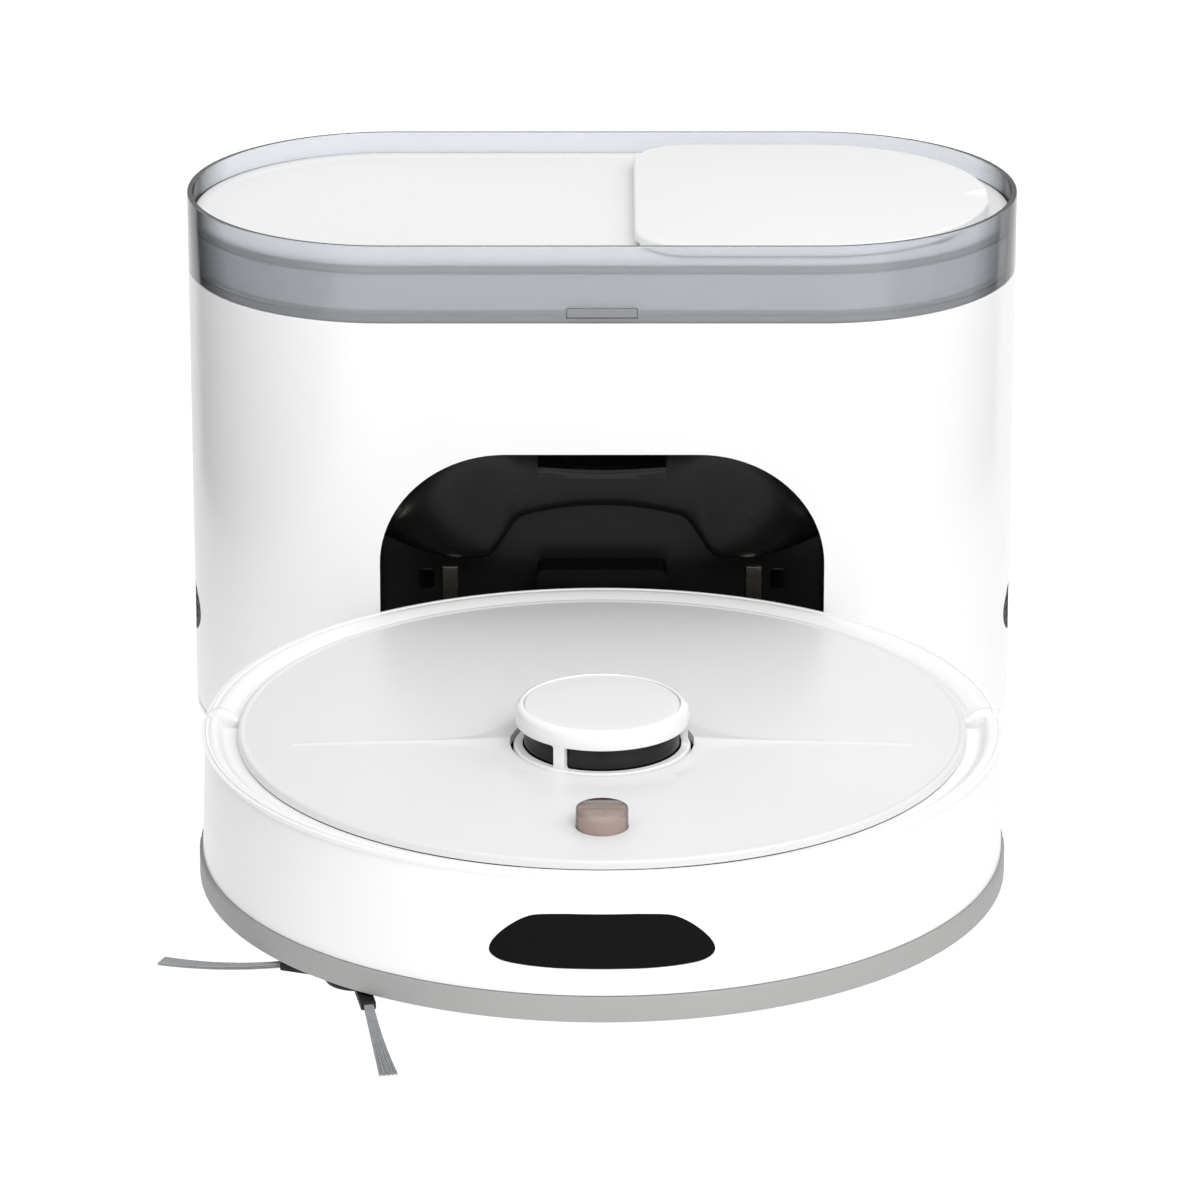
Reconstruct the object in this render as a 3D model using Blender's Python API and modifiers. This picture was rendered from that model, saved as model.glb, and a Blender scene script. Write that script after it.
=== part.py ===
"""Robot vacuum parked in its self-emptying station, in metres with +Z up.

The origin is the centre of the station's underside, on the floor. The robot stands on the -Y side
with its rear in the station's recess, and the station's back is on the +Y side.
"""

import math

import bmesh
import bpy
from mathutils import Matrix, Vector

MM = 0.001
GAP = 0.3 * MM

# Station
STATION_LENGTH = 378.4 * MM
STATION_DEPTH = 182.8 * MM
STATION_HEIGHT = 246.9 * MM
HALF_STRAIGHT = (STATION_LENGTH - STATION_DEPTH) / 2
ARC_STEPS = 18
BASE_TOP = 3.0 * MM
SHELL_TOP = 211.0 * MM
SHELL_WALL = 2.5 * MM
FRONT = -STATION_DEPTH / 2
REAR = STATION_DEPTH / 2

# Docking recess, as seen from the front
RECESS_HALF = 100.3 * MM
RECESS_TOP = 149.3 * MM
RECESS_FLAT_HALF = 43.7 * MM
RECESS_SHOULDER = 97.0 * MM
LINER_FRONT = -88.3 * MM
HOOD_START = -87.9 * MM
HOOD_END = -61.0 * MM
RECESS_BACK = -46.0 * MM
LINER_WALL = 3.0 * MM
LINER_REAR = -40.0 * MM
PORT_HALF = 25.5 * MM
PORT_LOW = 40.0 * MM
PORT_HIGH = 74.0 * MM
CONTACT_X = 69.5 * MM

# Dust container on top of the station, with its deck and flap
TUB_INSET = 3.2 * MM
TUB_WALL = 2.5 * MM
TUB_LOW = 156.3 * MM
SEAT_TOP = 155.5 * MM
COLLAR_LOW = 211.3 * MM
DECK_INSET = 3.0 * MM
DECK_LOW = 234.2 * MM
DECK_TOP = 237.7 * MM
SKIRT_LOW = 216.0 * MM
FLAP_LEFT = 14.5 * MM
FLAP_RIGHT = 176.5 * MM
FLAP_HALF = 79.5 * MM
FLAP_TOP = 244.0 * MM
FLAP_PIN_X = 16.9 * MM
FLAP_PIN_Z = 240.4 * MM
FLAP_CORNER = 25.0 * MM
EAR_Y = 50.0 * MM
HINGE_HALF = 57.0 * MM
INLET_HALF = 22.0 * MM

# Station fan, under the right-hand end of the container
FAN_X = 138.0 * MM
FAN_RADIUS = 44.0 * MM

# Robot
ROBOT_Y = -236.2 * MM
TURN_STEPS = 48
STRIP_RADIUS = 175.0 * MM
STRIP_LOW = 11.0 * MM
STRIP_TOP = 22.2 * MM
STRIP_WALL = 3.7 * MM
BUMPER_WALL = 2.0 * MM
BUMPER_END = 7.0 * MM
BUMPER_TRAVEL = 4.0 * MM
REAR_INSET = 1.0 * MM
FLOOR_RADIUS = 166.5 * MM
FLOOR_TOP = 13.5 * MM
COVER_RADIUS = 157.6 * MM
COVER_CENTRE = 78.4 * MM
COVER_EDGE = 75.5 * MM
COVER_THICK = 2.4 * MM
UPPER_DECK = (62.0 * MM, 64.4 * MM)
LIDAR_Y = ROBOT_Y - 30 * MM
BUTTON_Y = ROBOT_Y - 120 * MM
BUTTON_RADIUS = 11.0 * MM
BUTTON_TOP = 85.1 * MM
ROBOT_FAN = (84.0 * MM, ROBOT_Y + 98 * MM)
OUTLET_HALF = 25.0 * MM
OUTLET_LOW = 42.0 * MM
OUTLET_HIGH = 64.0 * MM

# Robot's running gear
WHEEL_X = 115.0 * MM
WHEEL_RADIUS = 32.5 * MM
WHEEL_WIDTH = 22.0 * MM
RIM_RADIUS = 27.0 * MM
ARM_X = 94.75 * MM
ARM_WIDTH = 13.5 * MM
PIVOT_Y = ROBOT_Y - 27 * MM
PIVOT_Z = 33.0 * MM
CASTER_Y = ROBOT_Y - 122 * MM
CASTER_TRAIL = 5.0 * MM
CASTER_RADIUS = 13.0 * MM
SIDE_BRUSH = (-103.0 * MM, ROBOT_Y - 117.5 * MM)
SIDE_ARM_ANGLES = (160, 280, 40)
BRISTLE_REACH = 90.2 * MM
BRUSH_Y = ROBOT_Y + 44 * MM
BRUSH_Z = 20.0 * MM
BRUSH_RADIUS = 18.5 * MM
BRUSH_HALF = 82.0 * MM


def clear_scene():
    for obj in list(bpy.data.objects):
        bpy.data.objects.remove(obj, do_unlink=True)


def make_collection(name):
    collection = bpy.data.collections.new(name)
    bpy.context.scene.collection.children.link(collection)
    return collection


def finish(name, hex_colour, roughness, metallic=0.0, alpha=1.0):
    """A Principled material in one sRGB colour."""
    material = bpy.data.materials.new(name)
    material.use_nodes = True
    shader = material.node_tree.nodes["Principled BSDF"]
    channels = [int(hex_colour[i : i + 2], 16) / 255 for i in (0, 2, 4)]
    linear = [c / 12.92 if c <= 0.04045 else ((c + 0.055) / 1.055) ** 2.4 for c in channels]
    shader.inputs["Base Color"].default_value = (*linear, 1)
    shader.inputs["Roughness"].default_value = roughness
    shader.inputs["Metallic"].default_value = metallic
    shader.inputs["Alpha"].default_value = alpha
    return material


def axis_empty(name, location, parent=None):
    """An empty on a joint's axis, which carries the pieces that turn or slide there."""
    empty = bpy.data.objects.new(name, None)
    empty.empty_display_size = 0.02
    PARTS.objects.link(empty)
    empty.location = Vector(location)
    if parent:
        hold(empty, parent)
    return empty


def resting_place(obj):
    """World position of an unrotated empty or object."""
    place = obj.location.copy()
    while obj.parent:
        place += obj.matrix_parent_inverse.translation + obj.parent.location
        obj = obj.parent
    return place


def hold(obj, parent):
    obj.parent = parent
    obj.matrix_parent_inverse = Matrix.Translation(-resting_place(parent))


def add(name, mesh, material=None, parent=None):
    """Adds a mesh as a part, or as a cutter where it has no material."""
    mesh.name = name
    obj = bpy.data.objects.new(name, mesh)
    if material is None:
        CUTTERS.objects.link(obj)
        obj.hide_render = True
        obj.display_type = "WIRE"
        return obj
    PARTS.objects.link(obj)
    mesh.materials.append(material)
    if parent:
        hold(obj, parent)
    return obj


def mesh_of(bm):
    mesh = bpy.data.meshes.new("mesh")
    bmesh.ops.recalc_face_normals(bm, faces=bm.faces)
    bm.to_mesh(mesh)
    bm.free()
    return mesh


def box(low, high):
    """Mesh of a box between two corners."""
    bm = bmesh.new()
    bmesh.ops.create_cube(bm, size=1)
    size = [b - a for a, b in zip(low, high)]
    middle = [(a + b) / 2 for a, b in zip(low, high)]
    bmesh.ops.scale(bm, vec=size, verts=bm.verts)
    bmesh.ops.translate(bm, vec=middle, verts=bm.verts)
    return mesh_of(bm)


def rod(radius, start, end, steps=24):
    """Mesh of a round rod between two points."""
    start, end = Vector(start), Vector(end)
    along = end - start
    bm = bmesh.new()
    bmesh.ops.create_cone(
        bm, cap_ends=True, segments=steps, radius1=radius, radius2=radius, depth=along.length
    )
    turn = along.to_track_quat("Z", "Y").to_matrix().to_4x4()
    bmesh.ops.transform(bm, matrix=Matrix.Translation((start + end) / 2) @ turn, verts=bm.verts)
    return mesh_of(bm)


def plate(outlines, low, high, turn=None):
    """Mesh of a flat plate: the first outline is its edge, the others are holes.

    It lies in XY between two heights, and turn places it otherwise.
    """
    curve = bpy.data.curves.new("outline", "CURVE")
    curve.dimensions = "2D"
    curve.fill_mode = "BOTH"
    curve.extrude = (high - low) / 2
    for outline in outlines:
        spline = curve.splines.new("POLY")
        spline.points.add(len(outline) - 1)
        spline.use_cyclic_u = True
        for point, (x, y) in zip(spline.points, outline):
            point.co = (x, y, 0, 1)
    guide = bpy.data.objects.new("outline", curve)
    bpy.context.scene.collection.objects.link(guide)
    graph = bpy.context.evaluated_depsgraph_get()
    mesh = bpy.data.meshes.new_from_object(guide.evaluated_get(graph))
    bpy.data.objects.remove(guide, do_unlink=True)
    bm = bmesh.new()
    bm.from_mesh(mesh)
    bmesh.ops.remove_doubles(bm, verts=bm.verts, dist=1e-6)
    bmesh.ops.translate(bm, vec=(0, 0, (low + high) / 2), verts=bm.verts)
    if turn:
        bmesh.ops.transform(bm, matrix=turn, verts=bm.verts)
    return mesh_of(bm)


# An outline drawn in XZ or YZ stands up: its plate then runs along Y or along X.
STAND_XZ = Matrix(((1, 0, 0, 0), (0, 0, 1, 0), (0, 1, 0, 0), (0, 0, 0, 1)))
STAND_YZ = Matrix(((0, 0, 1, 0), (1, 0, 0, 0), (0, 1, 0, 0), (0, 0, 0, 1)))


def turned(name, profile, centre, material, parent, closed=True, steps=TURN_STEPS):
    """A part turned about an upright axis, from (radius, height) points that run down its outside."""
    mesh = bpy.data.meshes.new(name)
    edges = [(i, i + 1) for i in range(len(profile) - 1)]
    if closed:
        edges.append((len(profile) - 1, 0))
    mesh.from_pydata([(r, 0, z) for r, z in profile], edges, [])
    obj = add(name, mesh, material)
    obj.location = (*centre, 0)
    if parent:
        hold(obj, parent)
    screw = obj.modifiers.new("turn", "SCREW")
    screw.steps = steps
    screw.render_steps = steps
    screw.use_merge_vertices = True
    screw.merge_threshold = 1e-5
    return obj


def lay_along_x(obj, place):
    """Turns a part made about Z onto the X axis through a place."""
    obj.rotation_euler = (0, math.pi / 2, 0)
    obj.location = place


def boolean(obj, tool, operation, name):
    """Cuts, joins or keeps with a tool, which is a mesh or an object of the cutters' collection."""
    if isinstance(tool, bpy.types.Mesh):
        tool = add(f"{obj.name}_{name}", tool)
    modifier = obj.modifiers.new(name, "BOOLEAN")
    modifier.operation = operation
    modifier.solver = "EXACT"
    modifier.object = tool


def cut(obj, tool, name="cut"):
    boolean(obj, tool, "DIFFERENCE", name)


def join(obj, tool, name="join"):
    boolean(obj, tool, "UNION", name)


def keep(obj, tool, name="keep"):
    boolean(obj, tool, "INTERSECT", name)


def arc(centre, radii, start, end, steps):
    """Points on an arc in degrees, both ends included."""
    points = []
    for i in range(steps + 1):
        angle = math.radians(start + (end - start) * i / steps)
        points.append(
            (centre[0] + radii[0] * math.cos(angle), centre[1] + radii[1] * math.sin(angle))
        )
    return points


def rounded(low, high, radius, steps=3):
    """Outline of a rectangle with round corners."""
    corners = (
        (high[0] - radius, low[1] + radius, -90),
        (high[0] - radius, high[1] - radius, 0),
        (low[0] + radius, high[1] - radius, 90),
        (low[0] + radius, low[1] + radius, 180),
    )
    outline = []
    for x, y, start in corners:
        outline += arc((x, y), (radius, radius), start, start + 90, steps)
    return outline


def circle(centre, radius, steps=24):
    return arc(centre, (radius, radius), 0, 360 - 360 / steps, steps - 1)


def stadium(inset):
    """The station's plan, moved in from its outer wall."""
    radius = STATION_DEPTH / 2 - inset
    right = arc((HALF_STRAIGHT, 0), (radius, radius), -90, 90, ARC_STEPS)
    left = arc((-HALF_STRAIGHT, 0), (radius, radius), 90, 270, ARC_STEPS)
    return right + left


def loft(sections):
    """Closed mesh through outlines of the same number of 3-D points."""
    bm = bmesh.new()
    rows = [[bm.verts.new(point) for point in section] for section in sections]
    count = len(rows[0])
    for near, far in zip(rows, rows[1:]):
        for i in range(count):
            j = (i + 1) % count
            bm.faces.new((near[i], near[j], far[j], far[i]))
    bm.faces.new(rows[0])
    bm.faces.new(rows[-1])
    bmesh.ops.triangulate(bm, faces=bm.faces)
    return mesh_of(bm)


def stadium_ring(profile):
    """Mesh of a ring that follows the station's plan, from a closed loop of (inset, height) points."""
    outlines = {inset: stadium(inset) for inset, _ in profile}
    count = len(stadium(0))
    bm = bmesh.new()
    rows = []
    for i in range(count):
        rows.append([bm.verts.new((*outlines[inset][i], z)) for inset, z in profile])
    for i in range(count):
        here, after = rows[i], rows[(i + 1) % count]
        for j in range(len(profile)):
            k = (j + 1) % len(profile)
            bm.faces.new((here[j], here[k], after[k], after[j]))
    return mesh_of(bm)


def offset_line(points, distance):
    """A polyline moved to its right-hand side, with mitred corners."""
    moved = []
    for i, point in enumerate(points):
        before = Vector(points[max(i - 1, 0)])
        after = Vector(points[min(i + 1, len(points) - 1)])
        here = Vector(point)
        normals = []
        for a, b in ((before, here), (here, after)):
            if (b - a).length > 0:
                step = (b - a).normalized()
                normals.append(Vector((step.y, -step.x)))
        total = sum(normals, Vector((0, 0))).normalized()
        moved.append(tuple(here + total * distance / total.dot(normals[0])))
    return moved


def recess_outline(grow=0.0, low=0.0):
    """The docking recess seen from the front, as (x, z) points from its left foot to its right."""
    radii = (RECESS_HALF - RECESS_FLAT_HALF + grow, RECESS_TOP - RECESS_SHOULDER + grow)
    left = arc((-RECESS_FLAT_HALF, RECESS_SHOULDER), radii, 180, 90, 7)
    right = arc((RECESS_FLAT_HALF, RECESS_SHOULDER), radii, 90, 0, 7)
    flat = [(RECESS_FLAT_HALF * i / 4, RECESS_TOP + grow) for i in range(-3, 4)]
    side = RECESS_HALF + grow
    return [(-side, low)] + left + flat + right + [(side, low)]


def step_height(x):
    """Height of the lower edge of the recess's hood: an arch in the middle that falls to the sides."""
    x = abs(x) / MM
    if x > 65:
        return (87 + 10 * ((x - 65) / 35.3) ** 1.5) * MM
    share = min(1, (65 - x) / 60)
    return (87 + 27 * share * share * (3 - 2 * share)) * MM


def recess_space():
    """The hollow in the liner: a hood that comes down and back to the step, then a deep lower part."""
    outline = recess_outline(low=-5 * MM)

    def section(y, share):
        points = []
        for x, z in outline:
            under = min(z, step_height(x))
            points.append((x, y, under + (z - under) * share if z > 0 else z))
        return points

    sections = [section(FRONT - 5 * MM, 1)]
    for i in range(6):
        angle = math.pi / 2 * i / 5
        y = HOOD_START + (HOOD_END - HOOD_START) * math.sin(angle)
        sections.append(section(y, math.cos(angle)))
    sections.append(section(RECESS_BACK, 0))
    return loft(sections)


# ---------------------------------------------------------------- station, fixed pieces


def station_base():
    obj = add("station_base", plate([stadium(0)], 0, BASE_TOP), WHITE_ABS)
    for y in (-70 * MM, 70 * MM):
        pocket = rounded((-110 * MM, y - 6 * MM), (110 * MM, y + 6 * MM), 5.9 * MM)
        cut(obj, plate([pocket], -1 * MM, 1.2 * MM), "foot_pocket")


def rubber_foot(name, y):
    outline = rounded((-110 * MM + GAP, y - 6 * MM + GAP), (110 * MM - GAP, y + 6 * MM - GAP), 5.6 * MM)
    add(name, plate([outline], 0, 0.9 * MM), RUBBER)


def vent_oval(grow, side):
    """An oval along X through the station's round end."""
    oval = arc((0, 49 * MM), (25.5 * MM + grow, 13 * MM + grow), 0, 345, 23)
    return plate([oval], side * 189 * MM - 12 * MM, side * 189 * MM + 12 * MM, STAND_YZ)


def station_shell():
    ring = plate([stadium(0), stadium(SHELL_WALL)], BASE_TOP + GAP, SHELL_TOP)
    obj = add("station_shell", ring, WHITE_ABS)
    opening = plate([recess_outline()], FRONT - 5 * MM, FRONT + 12 * MM, STAND_XZ)
    cut(obj, opening, "dock_opening")
    for side in (-1, 1):
        cut(obj, vent_oval(GAP, side), "vent")
    cut(obj, box((-85 * MM, REAR - 6 * MM, 18 * MM), (-65 * MM, REAR + 5 * MM, 32 * MM)), "inlet")


def vent_grille(name, side):
    ring = plate([stadium(0), stadium(2.2 * MM)], 34 * MM, 64 * MM)
    obj = add(name, ring, BLACK_GLOSS)
    keep(obj, vent_oval(0, side), "oval")
    for z in (41.5 * MM, 46.5 * MM, 51.5 * MM, 56.5 * MM):
        low = (side * 189 * MM - 12 * MM, -15 * MM, z - 0.8 * MM)
        high = (side * 189 * MM + 12 * MM, 15 * MM, z + 0.8 * MM)
        cut(obj, box(low, high), "slot")


def dock_liner():
    outline = recess_outline(LINER_WALL, BASE_TOP + GAP)
    obj = add("dock_liner", plate([outline], LINER_FRONT, LINER_REAR, STAND_XZ), BLACK_GLOSS)
    cut(obj, recess_space(), "docking_space")
    low = (-PORT_HALF, RECESS_BACK - 5 * MM, PORT_LOW)
    cut(obj, box(low, (PORT_HALF, LINER_REAR + 5 * MM, PORT_HIGH)), "port")


def port_gasket():
    outer = rounded((-29.7 * MM, 34 * MM), (29.7 * MM, 84 * MM), 4 * MM)
    inner = rounded((-PORT_HALF, PORT_LOW), (PORT_HALF, PORT_HIGH), 3 * MM)
    add("port_gasket", plate([outer, inner], -62.5 * MM, RECESS_BACK - GAP, STAND_XZ), RUBBER)


def contact_strip(name, side):
    """A leaf spring that leans from the recess's back wall to the robot's charging pad."""
    path = [(-46.6, 80), (-46.6, 61), (-58, 54), (-72.6, 50.5), (-73.2, 47.5), (-68, 41)]
    line = [(y * MM, z * MM) for y, z in path]
    outline = line + offset_line(line, 1.2 * MM)[::-1]
    middle = side * CONTACT_X
    mesh = plate([outline], middle - 3.5 * MM, middle + 3.5 * MM, STAND_YZ)
    add(name, mesh, SPRING_STEEL)


def suction_duct():
    low = (-28 * MM, LINER_REAR + GAP, PORT_LOW - 3 * MM)
    obj = add("suction_duct", box(low, (28 * MM, -12 * MM, SEAT_TOP)), GREY_ABS)
    cut(obj, box((-25.5 * MM, -36.7 * MM, PORT_LOW), (25.5 * MM, -15 * MM, 170 * MM)), "riser")
    cut(obj, box((-25.5 * MM, -45 * MM, PORT_LOW), (25.5 * MM, -30 * MM, PORT_HIGH)), "mouth")


def container_seat():
    duct = rounded((-28.4 * MM, -40.2 * MM), (28.4 * MM, -11.6 * MM), 0.3 * MM, 1)
    fan = circle((FAN_X, 0), 18 * MM)
    add("container_seat", plate([stadium(2.9 * MM), duct, fan], 153 * MM, SEAT_TOP), GREY_ABS)


def fan_housing():
    radius, wall = FAN_RADIUS, 2.5 * MM
    low, high, hole = 95 * MM, 152.7 * MM, 18 * MM
    profile = [
        (radius, high),
        (radius, low),
        (radius - wall, low),
        (radius - wall, high - wall),
        (hole, high - wall),
        (hole, high),
    ]
    turned("fan_housing", profile, (FAN_X, 0), GREY_ABS, None, steps=24)


def impeller(name, centre, bore, radius, low, height, parent):
    """A fan wheel: a back plate and hub, with straight blades on the plate."""
    hub = 3 * bore
    profile = [
        (bore, low + height),
        (hub, low + height - 2 * MM),
        (hub, low + 2.5 * MM),
        (radius, low + 2.5 * MM),
        (radius, low),
        (bore, low),
    ]
    obj = turned(name, profile, centre, BLACK_MATTE, parent, steps=24)
    blades = bmesh.new()
    for i in range(7):
        blade = bmesh.ops.create_cube(blades, size=1)["verts"]
        length = radius - hub
        bmesh.ops.scale(blades, vec=(length, 1.2 * MM, height * 0.6), verts=blade)
        place = Vector((hub + length / 2 - 1 * MM, 0, low + 1 * MM + height * 0.3))
        bmesh.ops.translate(blades, vec=place, verts=blade)
        turn = Matrix.Rotation(math.radians(360 * i / 7 + 8), 3, "Z")
        bmesh.ops.rotate(blades, matrix=turn, verts=blade)
    bmesh.ops.translate(blades, vec=(*centre, 0), verts=blades.verts)
    join(obj, mesh_of(blades), "blades")


def station_motor():
    profile = [
        (0, 147 * MM),
        (3 * MM, 147 * MM),
        (3 * MM, 116 * MM),
        (27 * MM, 116 * MM),
        (27 * MM, 103 * MM),
        (41.1 * MM, 103 * MM),
        (41.1 * MM, 100 * MM),
        (27 * MM, 100 * MM),
        (27 * MM, 55 * MM),
        (0, 55 * MM),
    ]
    turned("station_motor", profile, (FAN_X, 0), BRIGHT_STEEL, None, closed=False, steps=24)


def power_board():
    obj = add("power_board", box((-172 * MM, 8 * MM, 25 * MM), (-112 * MM, 9.6 * MM, 120 * MM)), BOARD)
    join(obj, box((-160 * MM, -14 * MM, 70 * MM), (-130 * MM, 8.8 * MM, 100 * MM)), "transformer")
    for x in (-150 * MM, -128 * MM):
        join(obj, rod(8 * MM, (x, 8.8 * MM, 45 * MM), (x, -18 * MM, 45 * MM), 12), "capacitor")


def power_inlet():
    low = (-85 * MM + GAP, 70 * MM, 18 * MM + GAP)
    obj = add("power_inlet", box(low, (-65 * MM - GAP, REAR - 0.2 * MM, 32 * MM - GAP)), BLACK_MATTE)
    socket = rounded((-83 * MM, 21 * MM), (-67 * MM, 29 * MM), 3.9 * MM)
    cut(obj, plate([socket], 78 * MM, REAR + 5 * MM, STAND_XZ), "socket")
    for x in (-79 * MM, -71 * MM):
        join(obj, rod(1.2 * MM, (x, 77 * MM, 25 * MM), (x, 88 * MM, 25 * MM), 8), "pin")


# ---------------------------------------------------------------- dust container and flap


def dust_container(body):
    inner = TUB_INSET + TUB_WALL
    wall = [
        (0, STATION_HEIGHT),
        (0, COLLAR_LOW),
        (TUB_INSET, COLLAR_LOW),
        (TUB_INSET, TUB_LOW),
        (inner, TUB_LOW),
        (inner, COLLAR_LOW + 2 * MM),
        (2.5 * MM, COLLAR_LOW + 4 * MM),
        (2.5 * MM, 231.5 * MM),
        (4.5 * MM, DECK_LOW - GAP),
        (2.5 * MM, DECK_LOW - GAP),
        (2.5 * MM, STATION_HEIGHT),
    ]
    obj = add("dust_container", stadium_ring(wall), SMOKE, body)
    inlet = rounded((-INLET_HALF, -35 * MM), (INLET_HALF, -17 * MM), 2 * MM)
    outlet = circle((FAN_X, 0), 16 * MM)
    floor = plate([stadium(TUB_INSET + 1 * MM), inlet, outlet], TUB_LOW + 0.4 * MM, TUB_LOW + 2.9 * MM)
    join(obj, floor, "floor")
    low = (-16 * MM, FRONT - 2 * MM, 213.5 * MM)
    cut(obj, box(low, (16 * MM, FRONT + 1.3 * MM, 218.3 * MM)), "light_pocket")


def status_light(body):
    low = (-15.6 * MM, FRONT, 213.8 * MM)
    add("status_light", box(low, (15.6 * MM, FRONT + 1 * MM, 218 * MM)), GREY_ABS, body)


def hinge_rod(radius, start, end):
    """Mesh of a rod on the flap's hinge line."""
    return rod(radius, (FLAP_PIN_X, start, FLAP_PIN_Z), (FLAP_PIN_X, end, FLAP_PIN_Z), 12)


def container_deck(body):
    window = rounded((30 * MM, -60 * MM), (158 * MM, 60 * MM), 14 * MM)
    tray = plate([stadium(DECK_INSET), window], DECK_LOW, DECK_TOP)
    obj = add("container_deck", tray, WHITE_ABS, body)
    skirt = [
        (4.9 * MM, DECK_LOW + 1 * MM),
        (4.9 * MM, SKIRT_LOW),
        (6.4 * MM, SKIRT_LOW),
        (6.4 * MM, DECK_LOW + 1 * MM),
    ]
    join(obj, stadium_ring(skirt), "skirt")
    for y in (-EAR_Y, EAR_Y):
        join(obj, hinge_rod(1.9 * MM, y - 3 * MM, y + 3 * MM), "knuckle")
        low = (FLAP_PIN_X - 1.6 * MM, y - 3 * MM, DECK_TOP - 1 * MM)
        join(obj, box(low, (FLAP_PIN_X + 1.6 * MM, y + 3 * MM, FLAP_PIN_Z)), "knuckle_foot")
    cut(obj, hinge_rod(1.25 * MM, -90 * MM, 90 * MM), "bore")


def flap_hinge_pin(body):
    add("flap_hinge_pin", hinge_rod(0.9 * MM, -HINGE_HALF + 1 * MM, HINGE_HALF - 1 * MM), BRIGHT_STEEL, body)


def flap_outline():
    radii = (FLAP_RIGHT - HALF_STRAIGHT, FLAP_HALF)
    right = arc((HALF_STRAIGHT, 0), radii, -90, 90, 16)
    corner = FLAP_CORNER
    back = arc((FLAP_LEFT + corner, FLAP_HALF - corner), (corner, corner), 90, 180, 8)
    front = arc((FLAP_LEFT + corner, -FLAP_HALF + corner), (corner, corner), 180, 270, 8)
    return right + back + front


def deck_flap(body):
    low = DECK_TOP + GAP
    obj = add("deck_flap", plate([flap_outline()], low, FLAP_TOP), WHITE_SATIN, body)
    barrel = FLAP_PIN_Z - low
    corner = box((0, -90 * MM, low - 2 * MM), (FLAP_PIN_X, 90 * MM, FLAP_PIN_Z))
    cut(obj, corner, "hinge_corner")
    ends = HINGE_HALF + 1 * MM
    join(obj, hinge_rod(barrel, -ends, ends), "barrel")
    cut(obj, hinge_rod(1.25 * MM, -HINGE_HALF, HINGE_HALF), "bore")
    for y in (-EAR_Y, EAR_Y):
        high = (FLAP_PIN_X + 3 * MM, y + 3.4 * MM, FLAP_PIN_Z + 2.4 * MM)
        cut(obj, box((0, y - 3.4 * MM, 230 * MM), high), "knuckle_notch")
    grip = rounded((FLAP_RIGHT - 4.5 * MM, -14 * MM), (FLAP_RIGHT + 6 * MM, 14 * MM), 4 * MM)
    cut(obj, plate([grip], FLAP_TOP - 2.5 * MM, FLAP_TOP + 2 * MM), "pull_notch")


def container_filter(body):
    low, high = (38 * MM, -54 * MM, 208 * MM), (150 * MM, 54 * MM, DECK_LOW - 2 * MM)
    obj = add("container_filter", box(low, high), FILTER_PAPER, body)
    for i in range(7):
        x = (50 + 14 * i) * MM
        pleat = box((x - 3 * MM, -50 * MM, 214 * MM), (x + 3 * MM, 50 * MM, 240 * MM))
        cut(obj, pleat, "pleat")


# ---------------------------------------------------------------- robot shells


SKIN = [
    (173.5 * MM, 22.5 * MM),
    (171.7 * MM, 72.0 * MM),
    (171.1 * MM, 74.6 * MM),
    (169.9 * MM, 76.0 * MM),
    (168.2 * MM, 76.2 * MM),
    (166.4 * MM, 75.2 * MM),
    (164.8 * MM, 73.2 * MM),
    (163.2 * MM, 71.8 * MM),
    (161.4 * MM, 71.3 * MM),
    (158.6 * MM, 71.3 * MM),
]


REAR_SKIN = [(r - REAR_INSET, z) for r, z in SKIN[:-1]] + SKIN[-1:]
TONGUE_SKIN = [
    (170.7 * MM, 22.5 * MM),
    (168.9 * MM, 71.0 * MM),
    (168.0 * MM, 72.4 * MM),
    (166.8 * MM, 72.4 * MM),
    (165.0 * MM, 70.4 * MM),
    (163.6 * MM, 69.2 * MM),
    (161.6 * MM, 68.5 * MM),
    (158.6 * MM, 68.5 * MM),
]


def shell_profile(skin, thickness):
    """The robot's side and rim as a closed loop, down the outside and up the inside."""
    outside = skin[::-1]
    return outside + offset_line(outside, thickness)[::-1]


def behind(y):
    """A block over everything behind a place on the robot, which cuts a full turn down to its front."""
    return box((-0.2, ROBOT_Y + y, -0.01), (0.2, ROBOT_Y + 0.2, 0.1))


def ahead(y):
    return box((-0.2, ROBOT_Y - 0.2, -0.01), (0.2, ROBOT_Y + y, 0.1))


def window_outline(grow=0.0):
    """The bumper's sensor window seen from the front, as (x, z) points."""
    low = arc((39.8 * MM, 40.8 * MM), (6.6 * MM + grow, 6.5 * MM + grow), -90, 15, 4)
    high = arc((26.6 * MM, 43.8 * MM), (14.4 * MM + grow, 14.4 * MM + grow), 30, 90, 4)
    right = low + high
    return right + [(-x, z) for x, z in right[::-1]]


def bumper(body):
    obj = turned("bumper", shell_profile(SKIN, BUMPER_WALL), (0, ROBOT_Y), WHITE_ABS, body)
    cut(obj, behind(BUMPER_END), "rear_half")
    opening = plate([window_outline(GAP)], ROBOT_Y - 0.19, ROBOT_Y - 0.15, STAND_XZ)
    cut(obj, opening, "sensor_opening")


def bumper_window(body):
    wall = [SKIN[1], SKIN[0]]
    inner = offset_line(wall, 1.8 * MM)
    obj = turned("bumper_window", wall + inner[::-1], (0, ROBOT_Y), BLACK_GLOSS, body)
    keep(obj, plate([window_outline()], ROBOT_Y - 0.19, ROBOT_Y - 0.15, STAND_XZ), "outline")


def ring_profile(outer, inner, low, high):
    return [(outer, high), (outer, low), (inner, low), (inner, high)]


def bumper_strip(body):
    inner = STRIP_RADIUS - STRIP_WALL
    profile = ring_profile(STRIP_RADIUS, inner, STRIP_LOW, STRIP_TOP)
    obj = turned("bumper_strip", profile, (0, ROBOT_Y), GREY_ABS, body)
    cut(obj, behind(BUMPER_END - 4 * MM), "rear_half")


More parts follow.
